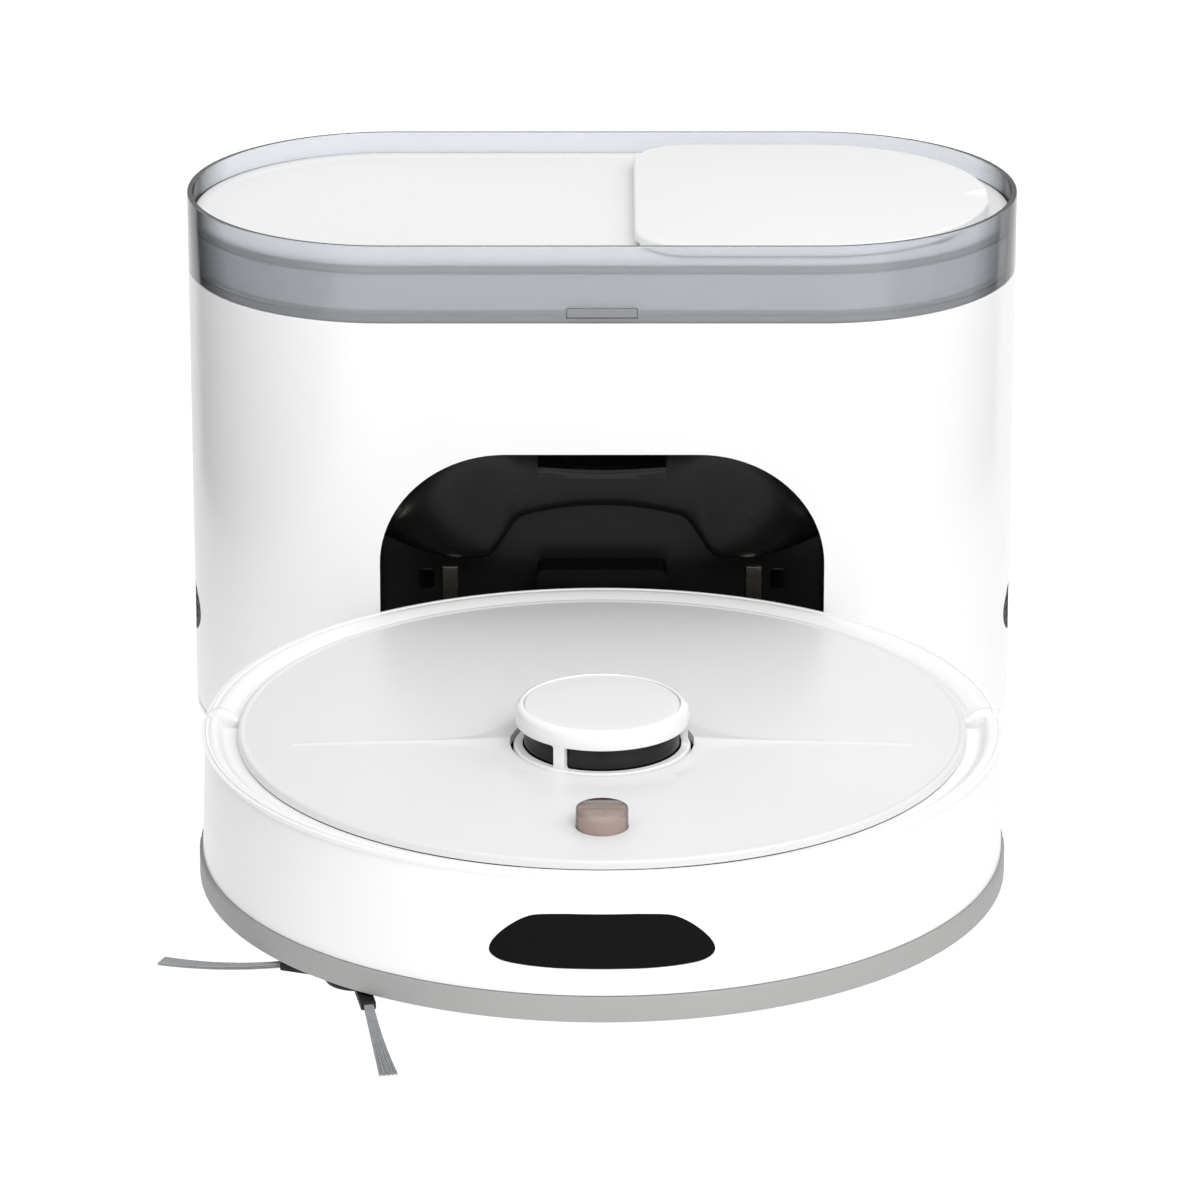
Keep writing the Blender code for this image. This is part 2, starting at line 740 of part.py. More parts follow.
def rear_strip(body):
    inner = FLOOR_RADIUS + 0.4 * MM
    tongue = ring_profile(STRIP_RADIUS - STRIP_WALL - 0.6 * MM, inner, STRIP_LOW, STRIP_TOP)
    obj = turned("rear_strip", tongue, (0, ROBOT_Y), GREY_ABS, body)
    cut(obj, ahead(-4 * MM), "front_half")
    profile = ring_profile(STRIP_RADIUS, inner + 1 * MM, STRIP_LOW, STRIP_TOP)
    full = turned("rear_strip_full", profile, (0, ROBOT_Y), None, None)
    cut(full, ahead(BUMPER_END + BUMPER_TRAVEL - 3 * MM), "front_half")
    join(obj, full, "full")


def rear_shell(body):
    """The fixed rear of the shell, with a tongue that runs under the bumper's ends."""
    obj = turned("rear_shell", shell_profile(TONGUE_SKIN, 1.5 * MM), (0, ROBOT_Y), WHITE_ABS, body)
    cut(obj, ahead(-2 * MM), "front_half")
    full = turned("rear_shell_full", shell_profile(REAR_SKIN, 2.2 * MM), (0, ROBOT_Y), None, None)
    cut(full, ahead(BUMPER_END + BUMPER_TRAVEL + 0.5 * MM), "front_half")
    join(obj, full, "full")
    low = (-OUTLET_HALF, ROBOT_Y + 0.15, OUTLET_LOW)
    cut(obj, box(low, (OUTLET_HALF, ROBOT_Y + 0.18, OUTLET_HIGH)), "outlet")


def cover_height(radius):
    return COVER_CENTRE - (COVER_CENTRE - COVER_EDGE) * (radius / (154.5 * MM)) ** 2


def top_cover(body):
    radii = [0, 85 * MM, 154.5 * MM]
    top = [(r, cover_height(r)) for r in radii]
    edge = [
        (155.8 * MM, 76.0 * MM),
        (157.2 * MM, 75.6 * MM),
        (COVER_RADIUS, 74.8 * MM),
        (COVER_RADIUS, 72.4 * MM),
        (156.0 * MM, 72.0 * MM),
    ]
    under = [(r, z - COVER_THICK) for r, z in top[::-1]]
    obj = turned("top_cover", top + edge + under, (0, ROBOT_Y), SATIN_SILVER, body, closed=False)
    cut(obj, rod(39.5 * MM, (0, LIDAR_Y, 0.06), (0, LIDAR_Y, 0.09), 32), "lidar_hole")
    cut(obj, rod(11.5 * MM, (0, BUTTON_Y, 0.06), (0, BUTTON_Y, 0.09), 24), "button_hole")


def upper_deck(body):
    edge = circle((0, ROBOT_Y), 162.1 * MM, TURN_STEPS)
    holes = [circle((0, LIDAR_Y), 33 * MM), circle((70 * MM, LIDAR_Y), 1.6 * MM, 8)]
    for side in (-1, 1):
        x = side * WHEEL_X
        holes.append(rounded((x - 13 * MM, ROBOT_Y - 0.038), (x + 13 * MM, ROBOT_Y + 0.038), 2 * MM, 1))
    add("upper_deck", plate([edge] + holes, *UPPER_DECK), BLACK_MATTE, body)


def chassis_base(body):
    profile = [
        (0, FLOOR_TOP),
        (162.5 * MM, FLOOR_TOP),
        (162.5 * MM, 66.3 * MM),
        (164.5 * MM, 66.3 * MM),
        (164.5 * MM, FLOOR_TOP),
        (FLOOR_RADIUS, FLOOR_TOP),
        (FLOOR_RADIUS, STRIP_LOW),
        (0, STRIP_LOW),
    ]
    obj = turned("chassis_base", profile, (0, ROBOT_Y), BLACK_MATTE, body, closed=False)
    for side in (-1, 1):
        inner, outer = sorted((side * 87.2 * MM, side * 128 * MM))
        well = box((inner, ROBOT_Y - 0.038, 0.005), (outer, ROBOT_Y + 0.036, 0.02))
        cut(obj, well, "wheel_well")
        inner, outer = sorted((side * 82 * MM, side * 87.5 * MM))
        bracket = box((inner, PIVOT_Y - 6 * MM, 12 * MM), (outer, PIVOT_Y + 6 * MM, 42 * MM))
        join(obj, bracket, "arm_bracket")
        bore = rod(3.4 * MM, (side * 80 * MM, PIVOT_Y, PIVOT_Z), (side * 90 * MM, PIVOT_Y, PIVOT_Z), 12)
        cut(obj, bore, "arm_bore")
    slot = box((-84 * MM, BRUSH_Y - 20.5 * MM, 0.005), (84 * MM, BRUSH_Y + 20.5 * MM, 0.02))
    cut(obj, slot, "brush_slot")
    cut(obj, rod(22 * MM, (0, CASTER_Y, 0.005), (0, CASTER_Y, 0.02), 24), "caster_hole")
    cup = turned("caster_cup", caster_cup_profile(), (0, CASTER_Y), None, None, steps=24)
    join(obj, cup, "caster_cup")
    cut(obj, rod(4.6 * MM, (*SIDE_BRUSH, 0.005), (*SIDE_BRUSH, 0.02), 12), "side_brush_hole")
    low = (-OUTLET_HALF, ROBOT_Y + 0.15, OUTLET_LOW)
    cut(obj, box(low, (OUTLET_HALF, ROBOT_Y + 0.168, OUTLET_HIGH)), "outlet")


def caster_cup_profile():
    return [
        (24 * MM, 40 * MM),
        (24 * MM, 11.5 * MM),
        (21.5 * MM, 11.5 * MM),
        (21.5 * MM, 37.5 * MM),
        (4.4 * MM, 37.5 * MM),
        (4.4 * MM, 40 * MM),
    ]


# ---------------------------------------------------------------- lidar turret and button


def lidar_guard(body):
    """The fixed turret: a foot ring, three pillars and the cap that they carry."""
    foot = [
        (38 * MM, 78.6 * MM),
        (38 * MM, 67 * MM),
        (44 * MM, 67 * MM),
        (44 * MM, 64.7 * MM),
        (34.1 * MM, 64.7 * MM),
        (34.1 * MM, 78.6 * MM),
    ]
    obj = turned("lidar_guard", foot, (0, LIDAR_Y), WHITE_ABS, body, steps=32)
    cap = [
        (0, 95.4 * MM),
        (33.6 * MM, 95.4 * MM),
        (33.6 * MM, 97.2 * MM),
        (34.8 * MM, 97.5 * MM),
        (36.3 * MM, 96.7 * MM),
        (37.2 * MM, 94.8 * MM),
        (37.2 * MM, 90.6 * MM),
        (36.4 * MM, 89.0 * MM),
        (0, 89.0 * MM),
    ]
    blank = turned("lidar_cap_blank", cap, (0, LIDAR_Y), None, None, closed=False, steps=32)
    for angle in (-30, 90, 210):
        bm = bmesh.new()
        bmesh.ops.create_cube(bm, size=1)
        bmesh.ops.scale(bm, vec=(5.2 * MM, 2.4 * MM, 13 * MM), verts=bm.verts)
        bmesh.ops.translate(bm, vec=(0, -35.6 * MM, 83.8 * MM), verts=bm.verts)
        bmesh.ops.rotate(bm, matrix=Matrix.Rotation(math.radians(angle), 3, "Z"), verts=bm.verts)
        bmesh.ops.translate(bm, vec=(0, LIDAR_Y, 0), verts=bm.verts)
        join(obj, mesh_of(bm), "pillar")
    join(obj, blank, "cap")


def lidar_cap_inlay(body):
    disc = rod(33.3 * MM, (0, LIDAR_Y, 95.7 * MM), (0, LIDAR_Y, 96.9 * MM), 32)
    add("lidar_cap_inlay", disc, SATIN_SILVER, body)


def lidar_rotor(body):
    profile = [
        (0, 88.4 * MM),
        (32.6 * MM, 88.4 * MM),
        (33.4 * MM, 87.6 * MM),
        (33.4 * MM, 79.2 * MM),
        (31 * MM, 78.2 * MM),
        (31 * MM, 60.6 * MM),
        (0, 60.6 * MM),
    ]
    turned("lidar_rotor", profile, (0, LIDAR_Y), BLACK_GLOSS, body, closed=False, steps=32)


def lidar_motor(body):
    x = 70 * MM
    can = rod(6 * MM, (x, LIDAR_Y, 36 * MM), (x, LIDAR_Y, 61.6 * MM), 12)
    obj = add("lidar_motor", can, BRIGHT_STEEL, body)
    join(obj, rod(1 * MM, (x, LIDAR_Y, 60 * MM), (x, LIDAR_Y, 69 * MM), 8), "shaft")
    join(obj, rod(4 * MM, (x, LIDAR_Y, 65.5 * MM), (x, LIDAR_Y, 68.5 * MM), 12), "pulley")


def power_button(body):
    profile = [
        (0, BUTTON_TOP),
        (10.3 * MM, BUTTON_TOP),
        (BUTTON_RADIUS, BUTTON_TOP - 0.8 * MM),
        (BUTTON_RADIUS, 71 * MM),
        (13 * MM, 71 * MM),
        (13 * MM, 68.5 * MM),
        (0, 68.5 * MM),
    ]
    turned("power_button", profile, (0, BUTTON_Y), ROSE, body, closed=False, steps=24)


# ---------------------------------------------------------------- robot's insides


def battery(body):
    low, high = (-40 * MM, ROBOT_Y - 96 * MM), (40 * MM, ROBOT_Y - 40 * MM)
    add("battery", plate([rounded(low, high, 6 * MM)], 14 * MM, 52 * MM), BLUE_WRAP, body)


def main_board(body):
    low, high = (-62 * MM, ROBOT_Y - 92 * MM, 54 * MM), (62 * MM, ROBOT_Y + 64 * MM, 55.6 * MM)
    obj = add("main_board", box(low, high), BOARD, body)
    for x, y, half in ((-20, 30, 9), (25, 25, 7), (-40, -70, 6)):
        place = (x * MM, ROBOT_Y + y * MM)
        low = (place[0] - half * MM, place[1] - half * MM, 55 * MM)
        join(obj, box(low, (place[0] + half * MM, place[1] + half * MM, 58 * MM)), "chip")


def bin_outline(inset):
    """The robot's dust bin from above: square to the front, and round to follow the robot's rear."""
    radius = 158 * MM - inset
    left, right, front = -105 * MM + inset, 42 * MM - inset, 72 * MM + inset
    start = math.degrees(math.acos(right / radius))
    end = math.degrees(math.acos(left / radius))
    rear = arc((0, ROBOT_Y), (radius, radius), start, end, 10)
    return [(left, ROBOT_Y + front), (right, ROBOT_Y + front)] + rear


def dust_bin(body):
    obj = add("dust_bin", plate([bin_outline(0), bin_outline(2 * MM)], 14 * MM, 60 * MM), SMOKE, body)
    join(obj, plate([bin_outline(1 * MM)], 14.4 * MM, 16.4 * MM), "floor")
    low = (-OUTLET_HALF, ROBOT_Y + 0.14, OUTLET_LOW)
    cut(obj, box(low, (OUTLET_HALF, ROBOT_Y + 0.17, 57 * MM)), "outlet")
    low = (-60 * MM, ROBOT_Y + 0.07, 20 * MM)
    cut(obj, box(low, (20 * MM, ROBOT_Y + 0.076, 40 * MM)), "intake")


def bin_filter(body):
    low, high = (-98 * MM, ROBOT_Y + 78 * MM, 20 * MM), (-70 * MM, ROBOT_Y + 112 * MM, 56 * MM)
    obj = add("bin_filter", box(low, high), FILTER_PAPER, body)
    for i in range(4):
        y = ROBOT_Y + (84 + 7 * i) * MM
        cut(obj, box((-0.105, y - 1.5 * MM, 24 * MM), (-74 * MM, y + 1.5 * MM, 52 * MM)), "pleat")


def robot_fan(body, wheel_body):
    radius, low, high, wall, hole = 30 * MM, 18 * MM, 50 * MM, 2 * MM, 12 * MM
    profile = [
        (radius, high),
        (radius, low),
        (radius - wall, low),
        (radius - wall, high - wall),
        (hole, high - wall),
        (hole, high),
    ]
    turned("robot_fan_housing", profile, ROBOT_FAN, GREY_ABS, body, steps=24)
    impeller("robot_fan_wheel", ROBOT_FAN, 2 * MM, 24 * MM, 24 * MM, 20 * MM, wheel_body)


def charging_pad(name, side, body):
    """A plate on the robot's rear, square to the radius."""
    bm = bmesh.new()
    bmesh.ops.create_cube(bm, size=1)
    bmesh.ops.scale(bm, vec=(9 * MM, 1 * MM, 12 * MM), verts=bm.verts)
    bmesh.ops.translate(bm, vec=(0, 173.1 * MM, 49 * MM), verts=bm.verts)
    turn = Matrix.Rotation(-side * math.asin(CONTACT_X / (173 * MM)), 3, "Z")
    bmesh.ops.rotate(bm, matrix=turn, verts=bm.verts)
    bmesh.ops.translate(bm, vec=(0, ROBOT_Y, 0), verts=bm.verts)
    add(name, mesh_of(bm), SPRING_STEEL, body)


# ---------------------------------------------------------------- running gear and brushes


def wheel_arm(name, side, body):
    """The sprung gearbox that carries a drive wheel, with its pivot stub and axle."""
    start = side * (ARM_X - ARM_WIDTH / 2)
    end = side * (ARM_X + ARM_WIDTH / 2)
    pivot, hub = (PIVOT_Y, PIVOT_Z), (ROBOT_Y, WHEEL_RADIUS)
    outline = arc(hub, (14 * MM, 14 * MM), -100, 80, 6) + arc(pivot, (9 * MM, 9 * MM), 100, 260, 5)
    low, high = sorted((start, end))
    obj = add(name, plate([outline], low, high, STAND_YZ), GREY_ABS, body)
    axle_end = side * (WHEEL_X + WHEEL_WIDTH / 2 - 2 * MM)
    join(obj, rod(3 * MM, (end - side * 3 * MM, *hub), (axle_end, *hub), 12), "axle")
    stub = (start + side * 3 * MM, *pivot)
    join(obj, rod(3 * MM, stub, (start - side * 4 * MM, *pivot), 12), "pivot_stub")


def drive_wheel(rim_name, tyre_name, side, body):
    half = WHEEL_WIDTH / 2
    rim = [
        (RIM_RADIUS, half - 1.5 * MM),
        (RIM_RADIUS, -half + 1.5 * MM),
        (20 * MM, -half + 1.5 * MM),
        (18 * MM, -half + 5 * MM),
        (3.4 * MM, -half + 5 * MM),
        (3.4 * MM, half - 1.5 * MM),
    ]
    place = (side * WHEEL_X, ROBOT_Y, WHEEL_RADIUS)
    obj = turned(rim_name, rim, (0, 0), GREY_ABS, None, steps=24)
    lay_along_x(obj, place)
    hold(obj, body)
    tyre = [
        (WHEEL_RADIUS - 1 * MM, half),
        (WHEEL_RADIUS, half - 2 * MM),
        (WHEEL_RADIUS, -half + 2 * MM),
        (WHEEL_RADIUS - 1 * MM, -half),
        (RIM_RADIUS + GAP, -half),
        (RIM_RADIUS + GAP, half),
    ]
    obj = turned(tyre_name, tyre, (0, 0), RUBBER, None, steps=24)
    lay_along_x(obj, place)
    hold(obj, body)


def caster_fork(body):
    profile = [
        (0, 46 * MM),
        (4 * MM, 46 * MM),
        (4 * MM, 32 * MM),
        (15 * MM, 32 * MM),
        (15 * MM, 29.5 * MM),
        (0, 29.5 * MM),
    ]
    obj = turned("caster_fork", profile, (0, CASTER_Y), BLACK_MATTE, body, closed=False, steps=16)
    axle_y = CASTER_Y - CASTER_TRAIL
    for side in (-1, 1):
        low, high = sorted((side * 7.4 * MM, side * 9.4 * MM))
        cheek = box((low, axle_y - 5 * MM, 8 * MM), (high, axle_y + 12 * MM, 30.5 * MM))
        join(obj, cheek, "cheek")
    axle = rod(2 * MM, (-8 * MM, axle_y, CASTER_RADIUS), (8 * MM, axle_y, CASTER_RADIUS), 10)
    join(obj, axle, "axle")


def caster_wheel(body):
    half = 7 * MM
    profile = [
        (CASTER_RADIUS - 1 * MM, half),
        (CASTER_RADIUS, half - 2 * MM),
        (CASTER_RADIUS, -half + 2 * MM),
        (CASTER_RADIUS - 1 * MM, -half),
        (2.4 * MM, -half),
        (2.4 * MM, half),
    ]
    obj = turned("caster_wheel", profile, (0, 0), BLACK_MATTE, None, steps=24)
    lay_along_x(obj, (0, CASTER_Y - CASTER_TRAIL, CASTER_RADIUS))
    hold(obj, body)


def side_brush_hub(body):
    profile = [
        (0, 17 * MM),
        (3.8 * MM, 17 * MM),
        (3.8 * MM, 10.4 * MM),
        (13.5 * MM, 10.4 * MM),
        (14 * MM, 6.5 * MM),
        (10 * MM, 5 * MM),
        (0, 5 * MM),
    ]
    obj = turned("side_brush_hub", profile, SIDE_BRUSH, BLACK_MATTE, body, closed=False, steps=24)
    for angle in SIDE_ARM_ANGLES:
        bm = bmesh.new()
        bmesh.ops.create_cube(bm, size=1)
        bmesh.ops.scale(bm, vec=(24 * MM, 6.4 * MM, 3.4 * MM), verts=bm.verts)
        bmesh.ops.translate(bm, vec=(22 * MM, 0, 8 * MM), verts=bm.verts)
        bmesh.ops.rotate(bm, matrix=Matrix.Rotation(math.radians(angle), 3, "Z"), verts=bm.verts)
        bmesh.ops.translate(bm, vec=(*SIDE_BRUSH, 0), verts=bm.verts)
        join(obj, mesh_of(bm), "holder")


def side_bristles(number, body):
    """One flattened tuft, which widens and droops towards the floor."""
    angle = math.radians(SIDE_ARM_ANGLES[number - 1])
    along = Vector((math.cos(angle), math.sin(angle), 0))
    across = Vector((-math.sin(angle), math.cos(angle), 0))
    hub = Vector((*SIDE_BRUSH, 0))
    sections = []
    for i in range(5):
        share = i / 4
        reach = 34.4 * MM + (BRISTLE_REACH - 34.4 * MM) * share
        height = (1.3 + 6.7 * (1 - share) ** 2) * MM
        wide = (1.9 + 1.9 * share) * MM
        thick = (1.1 - 0.4 * share) * MM
        middle = hub + along * reach + Vector((0, 0, height))
        corners = ((-wide, -thick), (wide, -thick), (wide, thick), (-wide, thick))
        sections.append([middle + across * a + Vector((0, 0, b)) for a, b in corners])
    add(f"side_bristles_{number}", loft(sections), BRISTLE, body)


def side_brush_motor(body):
    x, y = SIDE_BRUSH
    obj = add("side_brush_motor", rod(5.5 * MM, (x, y, 17.5 * MM), (x, y, 40 * MM), 12), GREY_ABS, body)
    join(obj, box((x + 3 * MM, y - 2 * MM, 18 * MM), (x + 42 * MM, y + 26 * MM, 40 * MM)), "gear_case")


def main_brush(body):
    """A rubber roller: a core with six flaps, and a journal at each end."""
    flaps = 6
    outline = []
    for i in range(flaps):
        middle = 360 * i / flaps
        flap = ((-4.5, BRUSH_RADIUS), (4.5, BRUSH_RADIUS), (12, 9.5 * MM), (48, 9.5 * MM))
        for offset, radius in flap:
            angle = math.radians(middle + offset)
            outline.append((BRUSH_Y + radius * math.cos(angle), BRUSH_Z + radius * math.sin(angle)))
    roller = plate([outline], -BRUSH_HALF + 4 * MM, BRUSH_HALF - 4 * MM, STAND_YZ)
    obj = add("main_brush", roller, RUBBER, body)
    journal = rod(4 * MM, (-BRUSH_HALF, BRUSH_Y, BRUSH_Z), (BRUSH_HALF, BRUSH_Y, BRUSH_Z), 12)
    join(obj, journal, "journal")


def brush_cover(body):
    outer = rounded((-92 * MM, BRUSH_Y - 27 * MM), (92 * MM, BRUSH_Y + 26 * MM), 6 * MM)
    inner = rounded((-81 * MM, BRUSH_Y - 19.5 * MM), (81 * MM, BRUSH_Y + 19.5 * MM), 2 * MM)
    add("brush_cover", plate([outer, inner], 8.2 * MM, STRIP_LOW - GAP), GREY_ABS, body)


def brush_gearbox(body):
    low = (-100 * MM, BRUSH_Y - 6 * MM, FLOOR_TOP + 0.5 * MM)
    obj = add("brush_gearbox", box(low, (-86 * MM, BRUSH_Y + 20 * MM, 44 * MM)), GREY_ABS, body)
    bore = rod(4.4 * MM, (-89 * MM, BRUSH_Y, BRUSH_Z), (-80 * MM, BRUSH_Y, BRUSH_Z), 12)
    cut(obj, bore, "journal_seat")


# ---------------------------------------------------------------- assembly

clear_scene()
PARTS = make_collection("robot_vacuum_with_station")
CUTTERS = make_collection("cutters")

WHITE_ABS = finish("white_abs", "F4F4F4", 0.3)
WHITE_SATIN = finish("white_satin", "F0F0F0", 0.45)
SATIN_SILVER = finish("satin_light_grey", "E2E2E2", 0.4)
GREY_ABS = finish("grey_abs", "B4B4B4", 0.45)
BLACK_GLOSS = finish("black_gloss", "1E1E1E", 0.12)
BLACK_MATTE = finish("black_matte", "161616", 0.55)
SMOKE = finish("smoked_clear", "B9BDC3", 0.12, alpha=0.55)
RUBBER = finish("rubber", "242424", 0.75)
SPRING_STEEL = finish("spring_steel", "A9A9A6", 0.3, 1.0)
BRIGHT_STEEL = finish("bright_steel", "C4C4C4", 0.25, 1.0)
BOARD = finish("circuit_board", "1F5A34", 0.5)
BLUE_WRAP = finish("battery_wrap", "2A4E8C", 0.4)
FILTER_PAPER = finish("filter_paper", "ECEAE2", 0.9)
ROSE = finish("rose_clear", "AD9C93", 0.25)
BRISTLE = finish("bristle", "929292", 0.6)

container_slide = axis_empty("container_slide", (0, 0, COLLAR_LOW))
flap_hinge = axis_empty("flap_hinge", (FLAP_PIN_X, 0, FLAP_PIN_Z), container_slide)
station_fan_axis = axis_empty("station_fan_axis", (FAN_X, 0, 130 * MM))
robot_slide = axis_empty("robot_slide", (0, ROBOT_Y, 0))
bumper_slide = axis_empty("bumper_slide", (0, ROBOT_Y, 40 * MM), robot_slide)
lidar_axis = axis_empty("lidar_axis", (0, LIDAR_Y, 84 * MM), robot_slide)
button_slide = axis_empty("button_slide", (0, BUTTON_Y, BUTTON_TOP), robot_slide)
robot_fan_axis = axis_empty("robot_fan_axis", (*ROBOT_FAN, 30 * MM), robot_slide)
side_brush_axis = axis_empty("side_brush_axis", (*SIDE_BRUSH, 8 * MM), robot_slide)
main_brush_axis = axis_empty("main_brush_axis", (0, BRUSH_Y, BRUSH_Z), robot_slide)
caster_swivel = axis_empty("caster_swivel", (0, CASTER_Y, 40 * MM), robot_slide)
caster_axle = axis_empty("caster_axle", (0, CASTER_Y - CASTER_TRAIL, CASTER_RADIUS), caster_swivel)

station_base()
rubber_foot("rubber_foot_front", -70 * MM)
rubber_foot("rubber_foot_rear", 70 * MM)
station_shell()
dock_liner()
port_gasket()
suction_duct()
container_seat()
fan_housing()
impeller("station_fan_wheel", (FAN_X, 0), 3.4 * MM, 38 * MM, 118 * MM, 28 * MM, station_fan_axis)
station_motor()
power_board()
power_inlet()

dust_container(container_slide)
status_light(container_slide)
container_deck(container_slide)
flap_hinge_pin(container_slide)
container_filter(container_slide)
deck_flap(flap_hinge)

chassis_base(robot_slide)
rear_shell(robot_slide)
rear_strip(robot_slide)
top_cover(robot_slide)
upper_deck(robot_slide)
lidar_guard(robot_slide)
lidar_cap_inlay(robot_slide)
lidar_motor(robot_slide)
battery(robot_slide)
main_board(robot_slide)
dust_bin(robot_slide)
bin_filter(robot_slide)
robot_fan(robot_slide, robot_fan_axis)
brush_cover(robot_slide)
brush_gearbox(robot_slide)
side_brush_motor(robot_slide)

bumper(bumper_slide)
bumper_strip(bumper_slide)
bumper_window(bumper_slide)
lidar_rotor(lidar_axis)
power_button(button_slide)
main_brush(main_brush_axis)
caster_fork(caster_swivel)
caster_wheel(caster_axle)
side_brush_hub(side_brush_axis)
for tuft in (1, 2, 3):
    side_bristles(tuft, side_brush_axis)

for hand, toward in (("left", -1), ("right", 1)):
    vent_grille(f"vent_grille_{hand}", toward)
    contact_strip(f"contact_strip_{hand}", toward)
    charging_pad(f"charging_pad_{hand}", toward, robot_slide)
    arm_pivot = axis_empty(f"arm_pivot_{hand}", (toward * ARM_X, PIVOT_Y, PIVOT_Z), robot_slide)
    wheel_axle = axis_empty(f"wheel_axle_{hand}", (toward * WHEEL_X, ROBOT_Y, WHEEL_RADIUS), arm_pivot)
    wheel_arm(f"wheel_arm_{hand}", toward, arm_pivot)
    drive_wheel(f"wheel_rim_{hand}", f"wheel_tyre_{hand}", toward, wheel_axle)
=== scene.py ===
"""Looks of a robot vacuum docked in its self-emptying station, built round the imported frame.

Metres, +Z up. The station stands on the origin with its back to +Y, and the robot is on its -Y side.
"""

from math import cos, exp, hypot, pi, radians, sin, sqrt

import bmesh
import bpy
from mathutils import Matrix, Vector


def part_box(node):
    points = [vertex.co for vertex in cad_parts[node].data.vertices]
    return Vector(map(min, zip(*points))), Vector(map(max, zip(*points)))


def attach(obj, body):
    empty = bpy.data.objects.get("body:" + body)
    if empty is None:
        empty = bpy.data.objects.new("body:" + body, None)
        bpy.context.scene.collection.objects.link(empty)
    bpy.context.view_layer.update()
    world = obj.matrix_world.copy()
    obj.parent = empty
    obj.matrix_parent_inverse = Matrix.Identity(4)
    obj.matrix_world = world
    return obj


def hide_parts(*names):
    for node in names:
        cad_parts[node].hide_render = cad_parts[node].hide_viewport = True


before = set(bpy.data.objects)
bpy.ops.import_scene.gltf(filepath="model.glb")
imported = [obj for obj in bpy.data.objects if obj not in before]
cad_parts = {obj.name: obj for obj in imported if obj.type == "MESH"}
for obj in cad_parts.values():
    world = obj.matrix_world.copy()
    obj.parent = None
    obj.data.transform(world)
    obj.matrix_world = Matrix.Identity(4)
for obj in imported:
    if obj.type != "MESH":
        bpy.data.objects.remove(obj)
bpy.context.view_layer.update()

MM = 0.001

# ---------------------------------------------------------------- station: base plate and feet
# A flat plate of white ABS closes the station underneath, with two rubber strips let into it.
# The plate is injection moulded and screwed up into the shell; the strips are pressed in.

BASE_LOW, BASE_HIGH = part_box("station_base")
END_RADIUS = (BASE_HIGH.y - BASE_LOW.y) / 2
HALF_STRAIGHT = (BASE_HIGH.x - BASE_LOW.x) / 2 - END_RADIUS
FRONT, REAR = BASE_LOW.y, BASE_HIGH.y
GAP = 0.3 * MM


def linear(hex_colour):
    """The linear colour that a shader takes, from an sRGB hex value."""
    channels = [int(hex_colour[i : i + 2], 16) / 255 for i in (0, 2, 4)]
    return tuple(c / 12.92 if c <= 0.04045 else ((c + 0.055) / 1.055) ** 2.4 for c in channels) + (1,)


def add_node(tree, kind, settings=None, inputs=None):
    """Adds a shader node: its settings, and each input's value or the socket that feeds it."""
    node = tree.nodes.new("ShaderNode" + kind)
    for name, value in (settings or {}).items():
        setattr(node, name, value)
    for name, value in (inputs or {}).items():
        if isinstance(value, bpy.types.NodeSocket):
            tree.links.new(value, node.inputs[name])
        else:
            node.inputs[name].default_value = value
    return node


def start_material(name, **sockets):
    """A material with one Principled shader, whose even values are set on its own sockets."""
    material = bpy.data.materials.new(name)
    material.use_nodes = True
    tree = material.node_tree
    shader = tree.nodes["Principled BSDF"]
    for socket, value in sockets.items():
        shader.inputs[socket.replace("_", " ")].default_value = value
    place = add_node(tree, "TexCoord").outputs["Object"]
    return material, tree, shader, place


def vary(tree, place, shader, size, colours, roughness):
    """Slow variation of colour and of gloss over a surface, with patches of about one size."""
    patches = add_node(tree, "TexNoise", inputs={"Vector": place, "Scale": 1 / size, "Detail": 3.0})
    share = patches.outputs["Fac"]
    colours = {0: share, 6: linear(colours[0]), 7: linear(colours[1])}
    mix = add_node(tree, "Mix", {"data_type": "RGBA"}, colours)
    tree.links.new(mix.outputs[2], shader.inputs["Base Color"])
    span = {"Value": share, "To Min": roughness[0], "To Max": roughness[1]}
    gloss = add_node(tree, "MapRange", inputs=span)
    tree.links.new(gloss.outputs["Result"], shader.inputs["Roughness"])


def grain(tree, place, shader, size, depth):
    """Fine relief, from the grain of the mould."""
    noise = add_node(tree, "TexNoise", inputs={"Vector": place, "Scale": 1 / size, "Detail": 2.0})
    bump = add_node(tree, "Bump", inputs={"Height": noise.outputs["Fac"], "Distance": depth})
    tree.links.new(bump.outputs["Normal"], shader.inputs["Normal"])


def surface(name, colours, roughness, grain_size, grain_depth, patch=60 * MM, **sockets):
    """A finely grained skin with soft patches of colour and gloss, some 60 mm across on a moulding."""
    material, tree, shader, place = start_material(name, **sockets)
    vary(tree, place, shader, patch, colours, roughness)
    grain(tree, place, shader, grain_size, grain_depth)
    return material


# Polished white ABS: a hard gloss, with the faint orange peel of a polished tool.
GLOSS_ABS = surface("gloss_abs", ("F8F8F8", "F5F5F6"), (0.2, 0.28), 2.2 * MM, 0.004 * MM, IOR=1.5)
# Nitrile rubber strips: dull and nearly black, with a sandy moulded skin.
NITRILE = surface("nitrile_rubber", ("242424", "2E2D2C"), (0.7, 0.85), 0.5 * MM, 0.05 * MM, IOR=1.52)


def arc(centre, radii, start, end, steps):
    """Points on an arc, in degrees, both ends included."""
    points = []
    for i in range(steps + 1):
        angle = radians(start + (end - start) * i / steps)
        points.append((centre[0] + radii[0] * cos(angle), centre[1] + radii[1] * sin(angle)))
    return points


def circle(centre, radius, steps=60):
    return arc(centre, (radius, radius), 0, 360 - 360 / steps, steps - 1)


def pill(centre, half, radius, steps):
    """A rectangle with half-round ends, between two end centres."""
    x, y = centre
    right = arc((x + half, y), (radius, radius), -90, 90, steps)
    return right + arc((x - half, y), (radius, radius), 90, 270, steps)


